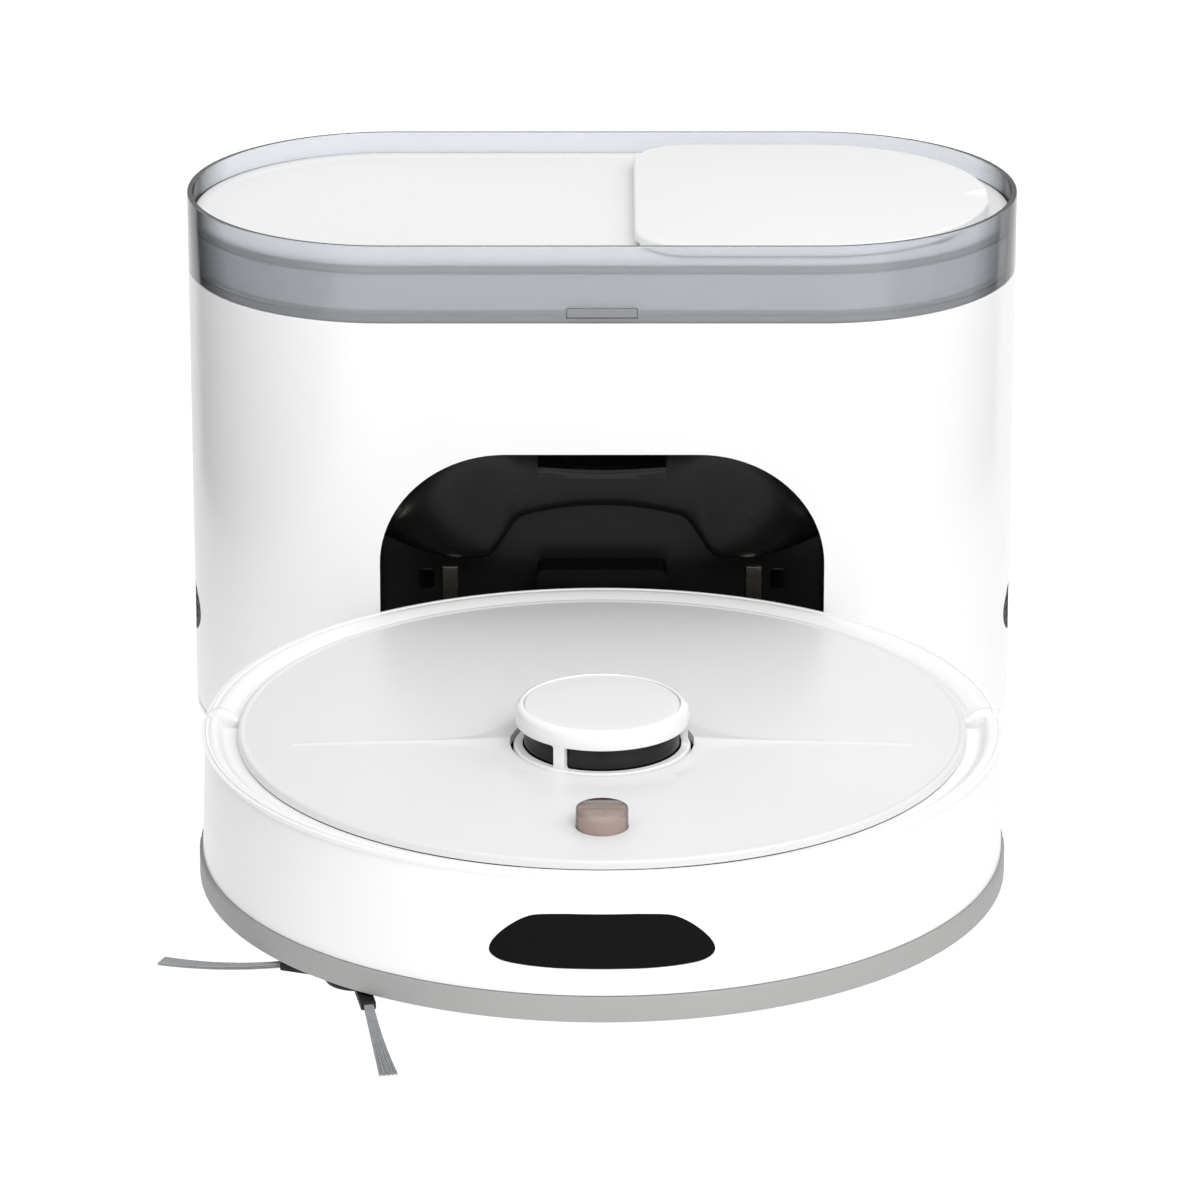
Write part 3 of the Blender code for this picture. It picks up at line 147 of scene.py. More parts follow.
def stadium(inset, steps=40):
    """The station's plan, moved in from its outer wall."""
    return pill((0, 0), HALF_STRAIGHT, END_RADIUS - inset, steps)


def mesh_of(bm):
    """The mesh of closed faces, all turned outwards."""
    bmesh.ops.recalc_face_normals(bm, faces=bm.faces)
    mesh = bpy.data.meshes.new("mesh")
    bm.to_mesh(mesh)
    bm.free()
    return mesh


def skin(rows, loop=False):
    """Closed mesh through outlines with one number of points, where loop joins the last to the first."""
    bm = bmesh.new()
    made = [[bm.verts.new(point) for point in row] for row in rows]
    count = len(made[0])
    for near, far in zip(made, made[1:] + made[:1] if loop else made[1:]):
        for i in range(count):
            j = (i + 1) % count
            bm.faces.new((near[i], near[j], far[j], far[i]))
    if not loop:
        bm.faces.new(made[0])
        bm.faces.new(made[-1])
    bmesh.ops.remove_doubles(bm, verts=bm.verts, dist=1e-7)
    return mesh_of(bm)


def moved_in(outline, distance):
    """A closed outline, drawn anticlockwise, moved inwards."""
    moved = []
    for i, point in enumerate(outline):
        here = Vector(point)
        before = (here - Vector(outline[i - 1])).normalized()
        after = (Vector(outline[(i + 1) % len(outline)]) - here).normalized()
        normal = Vector((-before.y - after.y, before.x + after.x))
        moved.append(tuple(here + normal * 2 * distance / max(normal.length_squared, 0.1)))
    return moved


# An outline lies flat, faces the front, or faces the side.
LAID = {
    "z": lambda a, b, depth: (a, b, depth),
    "y": lambda a, b, depth: (a, depth, b),
    "x": lambda a, b, depth: (depth, a, b),
}


def slab(outline, low, high, edge=0.0, axis="z", steps=4):
    """An outline given thickness along an axis, with both its edges rounded."""
    rings = [(0, low), (0, high)]
    if edge:
        turns = [pi / 2 * i / steps for i in range(steps + 1)]
        bottom = [(edge * (1 - sin(a)), low + edge * (1 - cos(a))) for a in turns]
        rings = bottom + [(inset, low + high - depth) for inset, depth in bottom[::-1]]
    place = LAID[axis]
    return skin([[place(a, b, depth) for a, b in moved_in(outline, inset)] for inset, depth in rings])


def added(name, data):
    """A new object for a mesh, a lamp or a camera, put in the scene."""
    obj = bpy.data.objects.new(name, data)
    bpy.context.scene.collection.objects.link(obj)
    return obj


def piece(name, mesh, material, body, slot, *nodes, sharp=35):
    """Adds a finished piece, which rides on its body and stands for its CAD nodes."""
    mesh.name = name
    mesh.materials.clear()
    mesh.materials.append(material)
    mesh.shade_smooth()
    mesh.set_sharp_from_angle(angle=radians(sharp))
    obj = added(name, mesh)
    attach(obj, body)
    if nodes:
        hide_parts(*nodes)
    return obj


def plan_middle(low, high):
    return ((low.x + high.x) / 2, (low.y + high.y) / 2)


def dress(node, material, edge=0.3 * MM):
    """Gives a CAD node that is shown its material, and takes its sharp edges off."""
    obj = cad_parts[node]
    obj.data.materials.clear()
    obj.data.materials.append(material)
    weld = obj.modifiers.new("weld", "WELD")
    weld.merge_threshold = 0.001 * MM
    if edge:
        bevel = obj.modifiers.new("edges", "BEVEL")
        bevel.width = edge
        bevel.segments = 2
        bevel.limit_method = "ANGLE"
        bevel.angle_limit = radians(40)
    return obj


plate = slab(stadium(0), 0, BASE_HIGH.z, 0.8 * MM)
piece("base_plate", plate, GLOSS_ABS, "station", "white_abs", "station_base")
for end in ("front", "rear"):
    low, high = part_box(f"rubber_foot_{end}")
    width = (high.y - low.y) / 2
    strip = pill(plan_middle(low, high), (high.x - low.x) / 2 - width, width, 10)
    strip = slab(strip, 0, high.z, 0.2 * MM)
    piece(f"foot_strip_{end}", strip, NITRILE, "station", "rubber", f"rubber_foot_{end}")

# ---------------------------------------------------------------- station: outer shell
# One tall wall of polished white ABS runs right round, with openings for the dock, vents and inlet.
# It is injection moulded, drops over the base plate and is screwed from below.

SHELL_LOW, SHELL_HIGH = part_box("station_shell")
SHELL_WALL = 2.5 * MM
LINER_LOW, LINER_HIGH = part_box("dock_liner")
LINER_WALL = 3.0 * MM
RECESS_HALF = LINER_HIGH.x - LINER_WALL
RECESS_TOP = LINER_HIGH.z - LINER_WALL
RECESS_FLAT_HALF = 43.7 * MM
RECESS_SHOULDER = 97.0 * MM


def changed(obj):
    """The object's mesh with its modifiers applied. The object is removed."""
    graph = bpy.context.evaluated_depsgraph_get()
    mesh = bpy.data.meshes.new_from_object(obj.evaluated_get(graph))
    bpy.data.objects.remove(obj, do_unlink=True)
    return mesh


def carve(mesh, *tools, operation="DIFFERENCE"):
    """The mesh with each tool cut from it, joined to it or kept."""
    for tool in tools:
        body, cutter = added("body", mesh), added("cutter", tool)
        modifier = body.modifiers.new("carve", "BOOLEAN")
        modifier.operation = operation
        modifier.object = cutter
        mesh = changed(body)
        bpy.data.objects.remove(cutter, do_unlink=True)
    return mesh


def rounded_corners(points, radius, steps=4):
    """A closed line whose corners are rounded, each from a radius before it to a radius after it."""
    line = []
    for i, point in enumerate(points):
        here = Vector(point)
        ends = []
        for other in (points[i - 1], points[(i + 1) % len(points)]):
            side = Vector(other) - here
            ends.append(here + side * min(0.49, radius / side.length))
        for j in range(steps + 1):
            t = j / steps
            line.append(tuple(ends[0] * (1 - t) ** 2 + here * 2 * t * (1 - t) + ends[1] * t * t))
    return line


def stadium_ring(profile, steps=40):
    """A ring that follows the station's plan, from a closed line of (inset, height) points."""
    outlines = [stadium(inset, steps) for inset, _ in profile]
    heights = [z for _, z in profile]
    rows = []
    for i in range(len(outlines[0])):
        rows.append([(*outline[i], z) for outline, z in zip(outlines, heights)])
    return skin(rows, loop=True)


def box_outline(low, high, radius, steps=6):
    """A rectangle with round corners, anticlockwise."""
    corners = (
        (high[0] - radius, low[1] + radius, -90),
        (high[0] - radius, high[1] - radius, 0),
        (low[0] + radius, high[1] - radius, 90),
        (low[0] + radius, low[1] + radius, 180),
    )
    outline = []
    for x, y, start in corners:
        outline += arc((x, y), (radius, radius), start, start + 90, steps)
    return outline


def recess_outline(grow=0.0, low=0.0, steps=22):
    """The docking recess seen from the front, from its left foot over the top to its right."""
    radii = (RECESS_HALF - RECESS_FLAT_HALF + grow, RECESS_TOP - RECESS_SHOULDER + grow)
    left = arc((-RECESS_FLAT_HALF, RECESS_SHOULDER), radii, 180, 90, steps)
    right = arc((RECESS_FLAT_HALF, RECESS_SHOULDER), radii, 90, 0, steps)
    flat = [(RECESS_FLAT_HALF * i / 16, RECESS_TOP + grow) for i in range(-15, 16)]
    side = RECESS_HALF + grow
    return [(-side, low)] + left + flat + right + [(side, low)]


VENT_MIDDLE = 49 * MM
VENT_SIZE = (25.5 * MM, 13 * MM)


def vent_oval(grow, side):
    """An oval block through the station's round end."""
    oval = arc((0, VENT_MIDDLE), (VENT_SIZE[0] + grow, VENT_SIZE[1] + grow), 0, 354, 59)
    middle = side * SHELL_HIGH.x
    return slab(oval, middle - 12 * MM, middle + 12 * MM, axis="x")


wall = rounded_corners(
    [(0, SHELL_LOW.z), (0, SHELL_HIGH.z), (SHELL_WALL, SHELL_HIGH.z), (SHELL_WALL, SHELL_LOW.z)], 0.6 * MM
)
INLET_LOW, INLET_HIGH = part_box("power_inlet")
inlet_hole = box_outline(
    (INLET_LOW.x - GAP, INLET_LOW.z - GAP), (INLET_HIGH.x + GAP, INLET_HIGH.z + GAP), 1 * MM, 3
)
shell = carve(
    stadium_ring(wall),
    slab(recess_outline(low=-5 * MM), FRONT - 5 * MM, FRONT + 12 * MM, axis="y"),
    vent_oval(GAP, -1),
    vent_oval(GAP, 1),
    slab(inlet_hole, REAR - 6 * MM, REAR + 5 * MM, axis="y"),
)
piece("outer_shell", shell, GLOSS_ABS, "station", "white_abs", "station_shell")

# ---------------------------------------------------------------- station: vent grilles
# Black satin inserts at the two round ends let the fan's air out through level slots.
# They are moulded ABS, clipped into the shell from inside.

# Black ABS with a spark-eroded grain, which stays dark where the wall turns away.
BLACK_ABS = surface(
    "black_abs", ("131313", "1A1A1A"), (0.5, 0.65), 0.7 * MM, 0.03 * MM, Specular_IOR_Level=0.3
)
outer, inner = 0.2 * MM, 2.2 * MM
band = [(outer, 34 * MM), (outer, 64 * MM), (inner, 64 * MM), (inner, 34 * MM)]

for hand, side in (("left", -1), ("right", 1)):
    grille = carve(stadium_ring(band, 80), vent_oval(0, side), operation="INTERSECT")
    middle = side * SHELL_HIGH.x
    for row in range(-2, 3):
        z = VENT_MIDDLE + row * 4.2 * MM
        reach = 19 * MM * sqrt(1 - (row / 3.2) ** 2)
        slot = box_outline((-reach, z - 0.9 * MM), (reach, z + 0.9 * MM), 0.85 * MM, 4)
        grille = carve(grille, slab(slot, middle - 12 * MM, middle + 12 * MM, axis="x"))
    piece(f"vent_{hand}", grille, BLACK_ABS, "station", "black_gloss", f"vent_grille_{hand}")

# ---------------------------------------------------------------- station: docking recess
# A polished black hood lines the recess that the robot's rear backs into, with an arched lip.
# It is one ABS moulding behind the shell's opening; its beacon and infra-red windows are let in.

# Polished black ABS: a soft gloss, hazed by handling.
PIANO_BLACK = surface(
    "polished_black_abs", ("151515", "1B1B1B"), (0.22, 0.3), 4 * MM, 0.003 * MM, Specular_IOR_Level=0.25
)

HOOD_START = FRONT + 3.5 * MM
HOOD_END = -61.0 * MM
HOOD_LIP = 6.5 * MM
RECESS_BACK = -46.0 * MM
PORT_HALF = 25.5 * MM
PORT_LOW = 40.0 * MM
PORT_HIGH = 74.0 * MM


def hood_edge(x):
    """Height of the hood's lower edge: an arch on two soft shoulders, and a slow rise to each side."""
    x = abs(x) / MM
    share = min(1, max(0, (54 - x) / 18))
    shoulder = 17 * share * share * (3 - 2 * share)
    crown = 8 * max(0, 1 - (x / 46) ** 2)
    return (87 + shoulder + crown + 10 * max(0, (x - 65) / 35.3) ** 1.5) * MM


def hood_line(x, top):
    """Points in depth and height from the opening's edge, down the hood, round its lip and back."""
    edge = min(top, hood_edge(x))
    lip = min(HOOD_LIP, top - edge)
    fall = top - edge - lip
    line = [(FRONT - 5 * MM, top)]
    for i in range(19):
        share = i / 18
        depth = HOOD_START + (HOOD_END - HOOD_START) * share
        line.append((depth, edge + lip + fall * (1 - 0.55 * share - 0.45 * share * share)))
    slope = max(1.0, 1.45 * fall / (HOOD_END - HOOD_START))
    start, turn = Vector(line[-1]), Vector((HOOD_END + lip / slope, edge))
    for i in range(1, 9):
        share = i / 8
        end = turn + Vector((min(lip, 5 * MM), 0))
        line.append(tuple(start * (1 - share) ** 2 + turn * 2 * share * (1 - share) + end * share * share))
    return line + [(RECESS_BACK, edge)]


opening = recess_outline(low=-5 * MM)
lines = [hood_line(x, z) if z > 0 else [(y, z) for y, _ in hood_line(x, RECESS_SHOULDER)] for x, z in opening]
space = []
for step in range(len(lines[0])):
    space.append([(x, line[step][0], line[step][1]) for (x, _), line in zip(opening, lines)])
hood = carve(
    slab(recess_outline(LINER_WALL, LINER_LOW.z), LINER_LOW.y, LINER_HIGH.y, axis="y"),
    skin(space),
    slab(box_outline((-PORT_HALF, PORT_LOW), (PORT_HALF, PORT_HIGH), 3 * MM), -60 * MM, -30 * MM, axis="y"),
)
piece("dock_hood", hood, PIANO_BLACK, "station", "black_gloss", "dock_liner", sharp=50)

# Infra-red acrylic: so dark that it reads as black, with a mirror surface.
INFRARED_ACRYLIC = surface(
    "infrared_acrylic", ("050505", "0A0809"), (0.03, 0.07), 5 * MM, 0.001 * MM, IOR=1.42
)

beacon = []
for column in range(-12, 13):
    x = 29 * MM * column / 12
    rows = []
    for step in range(9):
        z = RECESS_TOP - 1.2 * MM - 17.5 * MM * step / 8
        low = hood_edge(x) + HOOD_LIP
        share = (sqrt(0.3025 + 1.8 * (RECESS_TOP - z) / (RECESS_TOP - low)) - 0.55) / 0.9
        rows.append((x, HOOD_START + (HOOD_END - HOOD_START) * share, z))
    front = [(x, y - 0.25 * MM, z - 0.25 * MM) for x, y, z in rows]
    beacon.append(front + [(x, y + 0.8 * MM, z + 0.8 * MM) for x, y, z in rows[::-1]])
piece("beacon_window", skin(beacon), INFRARED_ACRYLIC, "station", "black_gloss")
for hand, side in (("left", -1), ("right", 1)):
    near, far = sorted((side * 77 * MM, side * 84 * MM))
    window = box_outline((near, 70 * MM), (far, 79 * MM), 1.2 * MM, 4)
    mesh = slab(window, RECESS_BACK - 0.9 * MM, RECESS_BACK + 0.6 * MM, 0.3 * MM, "y")
    piece(f"infrared_window_{hand}", mesh, INFRARED_ACRYLIC, "station", "black_gloss")

# ---------------------------------------------------------------- station: port gasket and contacts
# A folded silicone collar seals the suction port on the robot's outlet, between two leaf contacts.
# The collar is stretched over a rim on the hood, and each contact is a nickel-plated spring strip.

# Silicone: soft black with a silky skin. The colour is pushed darker still, as painted shade for the dim
# bottom of the recess.
SILICONE_WITH_PAINTED_SHADE = surface(
    "black_silicone_painted_shade", ("040404", "080809"), (0.5, 0.62), 0.8 * MM, 0.02 * MM, Specular_IOR_Level=0.12
)


def metal(name, colours, roughness, grain_scale, **sockets):
    """Bare metal with a drawn or rolled grain, finest across it and long along it."""
    material, tree, shader, place = start_material(name, Metallic=1.0, **sockets)
    stretch = add_node(tree, "Mapping", inputs={"Vector": place, "Scale": grain_scale})
    drawn = {"Vector": stretch.outputs["Vector"], "Scale": 1.0, "Detail": 4.0}
    lines = add_node(tree, "TexNoise", inputs=drawn)
    vary(tree, place, shader, 15 * MM, colours, roughness)
    bump = add_node(tree, "Bump", inputs={"Height": lines.outputs["Fac"], "Distance": 0.01 * MM})
    tree.links.new(bump.outputs["Normal"], shader.inputs["Normal"])
    return material


# Nickel plate on spring strip: bright and faintly yellow, with rolling lines about 0.3 mm apart.
NICKEL = metal("nickel_plate", ("B9B5AB", "A7A49B"), (0.22, 0.34), (3300, 3300, 60))
# Bright drawn steel: bluish, with drawing lines about 0.3 mm apart.
STEEL = metal("drawn_steel", ("BFC1C3", "A9ABAE"), (0.2, 0.32), (3300, 60, 3300))

GASKET_LOW, GASKET_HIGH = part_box("port_gasket")
folds = []
for step in range(19):
    share = step / 18
    inset = 0.9 * MM * (1 - cos(6 * pi * share)) / 2
    folds.append((inset, GASKET_LOW.y + (GASKET_HIGH.y - GASKET_LOW.y) * share))
collar = box_outline(GASKET_LOW.xz, GASKET_HIGH.xz, 4 * MM, 8)
bore = box_outline((-PORT_HALF, PORT_LOW), (PORT_HALF, PORT_HIGH), 3 * MM, 8)
bellows = skin([[(a, depth, b) for a, b in moved_in(collar, inset)] for inset, depth in folds])
bellows = carve(bellows, slab(bore, GASKET_LOW.y - 5 * MM, GASKET_HIGH.y + 5 * MM, axis="y"))
# The bellows' near-black colour is partly the silicone's own black and partly painted shade for the recess
# floor.
piece("port_bellows", bellows, SILICONE_WITH_PAINTED_SHADE, "station", "rubber", "port_gasket")
for hand in ("left", "right"):
    dress(f"contact_strip_{hand}", NICKEL, 0.15 * MM)

# ---------------------------------------------------------------- station: insides
# Behind the hood a duct lifts the dust to the container, and a fan under the container draws the air.
# Duct, seat and fan case are glass-filled ABS; motor, fan wheel and power board are screwed to them.

# Grey ABS with a spark-eroded grain, as on parts that are not meant to be seen.
GREY_ABS = surface("grey_abs", ("A9A9A8", "B2B2B1"), (0.45, 0.6), 0.7 * MM, 0.03 * MM, IOR=1.53)
# Solder mask: glossy green over fibreglass, with copper tracks showing through as lighter lines.
SOLDER_MASK, tree, shader, place = start_material("solder_mask", IOR=1.55, Coat_Weight=0.3, Roughness=0.4)
pattern = {
    "Vector": place,
    "Color1": linear("1C5632"),
    "Color2": linear("205E38"),
    "Mortar": linear("3A7C4C"),
    "Scale": 1 / (12 * MM),
    "Mortar Size": 0.04,
}
tracks = add_node(tree, "TexBrick", {"offset": 0.3, "squash": 0.6}, pattern)
tree.links.new(tracks.outputs["Color"], shader.inputs["Base Color"])
relief = {"Height": tracks.outputs["Fac"], "Distance": 0.03 * MM}
relief = add_node(tree, "Bump", {"invert": True}, relief)
tree.links.new(relief.outputs["Normal"], shader.inputs["Normal"])

for node in ("suction_duct", "container_seat", "fan_housing"):
    dress(node, GREY_ABS)
dress("station_fan_wheel", BLACK_ABS, 0.15 * MM)
dress("station_motor", STEEL, 0.4 * MM)
dress("power_board", SOLDER_MASK)
dress("power_inlet", BLACK_ABS, 0.2 * MM)

# ---------------------------------------------------------------- dust container
# A tinted clear tub hangs inside the shell's top, and its collar stands above as the station's brim.
# It is one polycarbonate moulding that lifts straight out to be emptied.

TUB_LOW, TUB_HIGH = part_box("dust_container")
TUB_INSET = 3.2 * MM
TUB_WALL = 2.5 * MM
COLLAR_LOW = 211.3 * MM
DECK_LOW, DECK_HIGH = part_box("container_deck")
LIGHT_LOW, LIGHT_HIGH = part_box("status_light")
FAN_LOW, FAN_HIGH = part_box("fan_housing")
FAN_MIDDLE = ((FAN_LOW.x + FAN_HIGH.x) / 2, 0)


def block(low, high):
    corners = [(low[0], low[1]), (high[0], low[1]), (high[0], high[1]), (low[0], high[1])]
    return slab(corners, low[2], high[2])


def clear_plastic(name, face_on, edge_on, roughness, **sockets):
    """A tinted clear moulding: light is lost on the longer path through it, so it darkens edge-on."""
    material, tree, shader, place = start_material(name, **sockets)
    patches = add_node(tree, "TexNoise", inputs={"Vector": place, "Scale": 1 / (45 * MM), "Detail": 2.0})
    share = patches.outputs["Fac"]
    facing = add_node(tree, "LayerWeight", inputs={"Blend": 0.5}).outputs["Facing"]
    path = add_node(tree, "Math", {"operation": "MULTIPLY_ADD"}, {0: share, 1: 0.06, 2: facing})
    span = {"Value": path.outputs["Value"], "From Min": 0.45, "From Max": 0.74}
    depth = add_node(tree, "MapRange", inputs=span).outputs["Result"]
    colours = {0: depth, 6: linear(face_on), 7: linear(edge_on)}
    tint = add_node(tree, "Mix", {"data_type": "RGBA"}, colours)
    tree.links.new(tint.outputs[2], shader.inputs["Base Color"])
    span = {"Value": share, "To Min": roughness[0], "To Max": roughness[1]}
    haze = add_node(tree, "MapRange", inputs=span)
    tree.links.new(haze.outputs["Result"], shader.inputs["Roughness"])
    grain(tree, place, shader, 3 * MM, 0.004 * MM)
    return material


# Smoke-tinted polycarbonate: a cool grey that deepens where the wall is seen edge-on.
SMOKED_CLEAR = clear_plastic(
    "smoked_polycarbonate", "E6E9EE", "101114", (0.1, 0.16), IOR=1.42, Transmission_Weight=0.72
)

inner = TUB_INSET + TUB_WALL
outside = [(0, TUB_HIGH.z), (0, COLLAR_LOW), (TUB_INSET, COLLAR_LOW), (TUB_INSET, TUB_LOW.z)]
inside = [(inner, TUB_LOW.z), (inner, COLLAR_LOW + 2 * MM), (TUB_WALL, COLLAR_LOW + 4 * MM)]
ledge = [(TUB_WALL, DECK_HIGH.z - 9 * MM), (4.5 * MM, 233.9 * MM), (TUB_WALL, 233.9 * MM)]
tub = rounded_corners(outside + inside + ledge + [(TUB_WALL, TUB_HIGH.z)], 0.7 * MM)
tub = carve(
    stadium_ring(tub),
    slab(stadium(TUB_INSET + 1 * MM), TUB_LOW.z + 0.4 * MM, TUB_LOW.z + 2.9 * MM),
    operation="UNION",
)
inlet = box_outline((-22 * MM, -35 * MM), (22 * MM, -17 * MM), 2 * MM)
tub = carve(
    tub,
    slab(inlet, TUB_LOW.z - 5 * MM, TUB_LOW.z + 9 * MM),
    slab(circle(FAN_MIDDLE, 16 * MM), TUB_LOW.z - 5 * MM, TUB_LOW.z + 9 * MM),
    block(
        (LIGHT_LOW.x - 0.4 * MM, FRONT - 2 * MM, LIGHT_LOW.z - GAP),
        (LIGHT_HIGH.x + 0.4 * MM, LIGHT_HIGH.y + GAP, LIGHT_HIGH.z + GAP),
    ),
)
piece("dust_tub", tub, SMOKED_CLEAR, "container", "smoked_clear", "dust_container")

# ---------------------------------------------------------------- dust container: status light
# A small grey light bar sits in a pocket in the collar's front, and is unlit here.
# It is a moulded polycarbonate light guide, pushed in from the front.

# Milky polycarbonate: a soft grey, with a little light scattered inside it.
LIGHT_GUIDE = surface(
    "light_guide",
    ("85868B", "8D8E92"),
    (0.3, 0.4),
    1 * MM,
    0.004 * MM,
    IOR=1.58,
    Subsurface_Weight=0.1,
    Subsurface_Scale=1 * MM,
)
bar = box_outline(LIGHT_LOW.xz, LIGHT_HIGH.xz, 0.5 * MM, 4)
bar = slab(bar, LIGHT_LOW.y, LIGHT_HIGH.y, 0.15 * MM, "y")
piece("status_light_bar", bar, LIGHT_GUIDE, "container", "grey_abs", "status_light")

# ---------------------------------------------------------------- dust container: deck
# A shallow white tray closes the tub below its brim, with a rounded lip, a filter opening and a skirt.
# It is moulded ABS, pushed down onto the collar's ledge; a dark ring round its edge is painted shade for the
# shadowed edge of the deck.

DECK_INSET = 3.0 * MM
DECK_TOP = 237.7 * MM
FLAP_LOW, FLAP_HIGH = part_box("deck_flap")
PIN_LOW, PIN_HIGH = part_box("flap_hinge_pin")
PIN_RADIUS = 0.9 * MM
HINGE = (PIN_LOW.x + PIN_RADIUS, PIN_HIGH.z - PIN_RADIUS)
EAR_MIDDLE = 50 * MM

# Satin ABS: white, with a fine even mould texture that spreads its highlights.
SATIN_ABS = surface("satin_abs", ("F1F1F1", "EEEEEE"), (0.42, 0.52), 0.6 * MM, 0.012 * MM, IOR=1.53)
# Painted shade: a charcoal ring with a dull skin stands for the shadowed edge of the deck under its lip, seen
# through the collar.
PAINTED_EDGE_SHADE = surface("painted_edge_shade", ("2B2C2E", "343538"), (0.6, 0.75), 0.5 * MM, 0.03 * MM, IOR=1.5)


def hinge_rod(radius, start, end):
    return slab(circle(HINGE, radius, 36), start, end, axis="y")


lip = arc((DECK_INSET + 1.5 * MM, DECK_TOP - 1.5 * MM), (1.5 * MM, 1.5 * MM), 180, 90, 6)
dish = [(8 * MM, DECK_TOP - 0.1 * MM), (10 * MM, DECK_TOP - 0.6 * MM), (12 * MM, DECK_TOP - 0.7 * MM)]
rings = [(DECK_INSET, 234.2 * MM)] + lip + [(6.5 * MM, DECK_TOP)] + dish
tray = skin([[(x, y, z) for x, y in stadium(inset)] for inset, z in rings])
skirt = [(4.9 * MM, 235 * MM), (4.9 * MM, DECK_LOW.z), (6.4 * MM, DECK_LOW.z), (6.4 * MM, 235 * MM)]
tray = carve(tray, stadium_ring(rounded_corners(skirt, 0.4 * MM)), operation="UNION")
window = box_outline((30 * MM, -60 * MM), (158 * MM, 60 * MM), 14 * MM, 10)
tray = carve(tray, slab(window, 230 * MM, 240 * MM))
for y in (-EAR_MIDDLE, EAR_MIDDLE):
    foot_low = (HINGE[0] - 1.6 * MM, y - 3 * MM, DECK_TOP - 1 * MM)
    foot = block(foot_low, (HINGE[0] + 1.6 * MM, y + 3 * MM, HINGE[1]))
    tray = carve(tray, hinge_rod(1.9 * MM, y - 3 * MM, y + 3 * MM), foot, operation="UNION")
tray = carve(tray, hinge_rod(1.25 * MM, -90 * MM, 90 * MM))
piece("deck_tray", tray, SATIN_ABS, "container", "white_abs", "container_deck")

# A thin dark ring just inside the collar, under the deck's lip: painted shade for the deck's shadowed edge.
shade_ring = [(2.55 * MM, 237.3 * MM), (2.55 * MM, 234 * MM), (2.95 * MM, 234 * MM), (2.95 * MM, 237.3 * MM)]
piece("deck_shade_ring", stadium_ring(rounded_corners(shade_ring, 0.15 * MM)), PAINTED_EDGE_SHADE, "container", "rubber")
dress("flap_hinge_pin", STEEL, 0)

# Filter paper: matt cream fibres about 0.4 mm long, laid every way over a cloudy sheet.
PAPER = surface("filter_paper", ("EFEDE4", "E2DFD2"), (0.85, 0.95), 0.4 * MM, 0.15 * MM, 12 * MM, IOR=1.4)
dress("container_filter", PAPER)

# ---------------------------------------------------------------- dust container: flap
# A flat satin lid covers the filter, with a D-shaped outline and a scooped finger notch at its end.
# It is moulded ABS and swings up on a steel pin along its straight edge.

corner = 25 * MM
flap = arc((HALF_STRAIGHT, 0), (FLAP_HIGH.x - HALF_STRAIGHT, FLAP_HIGH.y), -90, 90, 60)
flap += arc((FLAP_LOW.x + corner, FLAP_HIGH.y - corner), (corner, corner), 90, 180, 16)
flap += arc((FLAP_LOW.x + corner, FLAP_LOW.y + corner), (corner, corner), 180, 270, 16)
low = DECK_TOP + GAP
lid = slab(flap, low, FLAP_HIGH.z, 1.3 * MM, steps=6)
lid = carve(lid, block((0, -90 * MM, low - 2 * MM), (HINGE[0], 90 * MM, HINGE[1])))
reach = PIN_HIGH.y + 1 * MM
lid = carve(lid, hinge_rod(HINGE[1] - low, -reach - 1 * MM, reach + 1 * MM), operation="UNION")
notches = []
for y in (-EAR_MIDDLE, EAR_MIDDLE):
    notch_high = (HINGE[0] + 3 * MM, y + 3.4 * MM, HINGE[1] + 2.4 * MM)
    notches.append(block((0, y - 3.4 * MM, 230 * MM), notch_high))
scoop = []
for share in (0, 0.25, 0.5, 0.75, 1.0, 1.2):
    x = FLAP_HIGH.x - 11 * MM * (1 - share)
    half = (0.6 + 12 * share) * MM
    depth = (0.4 + 3.4 * share) * MM
    section = arc((0, FLAP_HIGH.z), (half, depth), 180, 360, 16) + [(half, 0.25), (-half, 0.25)]
    scoop.append([(x, y, z) for y, z in section])
lid = carve(lid, hinge_rod(1.25 * MM, -reach, reach), *notches, skin(scoop))
piece("filter_flap", lid, SATIN_ABS, "flap", "white_satin", "deck_flap")

# ---------------------------------------------------------------- robot: chassis
# A black tray carries the wheels, brushes, fan and battery, under a deck that the turret stands on.
# Both are moulded ABS, screwed together round the edge.

COVER_LOW, COVER_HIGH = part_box("top_cover")
ROBOT = plan_middle(COVER_LOW, COVER_HIGH)
for node in ("chassis_base", "upper_deck"):
    dress(node, BLACK_ABS)

# ---------------------------------------------------------------- robot: rear shell
# The fixed half of the white side wall rolls over into a full rounded rim with a bead at each end.
# It is moulded ABS, and a thinner tongue at each end runs in under the bumper.

REAR_START = 4.0


def smooth_line(points, steps=4):
    """A smooth line through an open line's points."""
    padded = [points[0]] + list(points) + [points[-1]]
    line = []
    for group in zip(padded, padded[1:], padded[2:], padded[3:]):
        for i in range(steps):
            t = i / steps
            point = []
            for p, q, r, s in zip(*group):
                turn = (2 * p - 5 * q + 4 * r - s) * t * t + (3 * q - p - 3 * r + s) * t**3
                point.append(q + ((r - p) * t + turn) / 2)
            line.append(tuple(point))
    return line + [points[-1]]


def beside(line, distance):
    """An open line moved to its left."""
    moved = []
    for i, point in enumerate(line):
        run = Vector(line[min(i + 1, len(line) - 1)]) - Vector(line[max(i - 1, 0)])
        run.normalize()
        moved.append((point[0] - run.y * distance, point[1] + run.x * distance))
    return moved


def wall_section(line, near, far):
    """A closed section between two distances to the left of an open line."""
    return beside(line, near) + beside(line, far)[::-1]


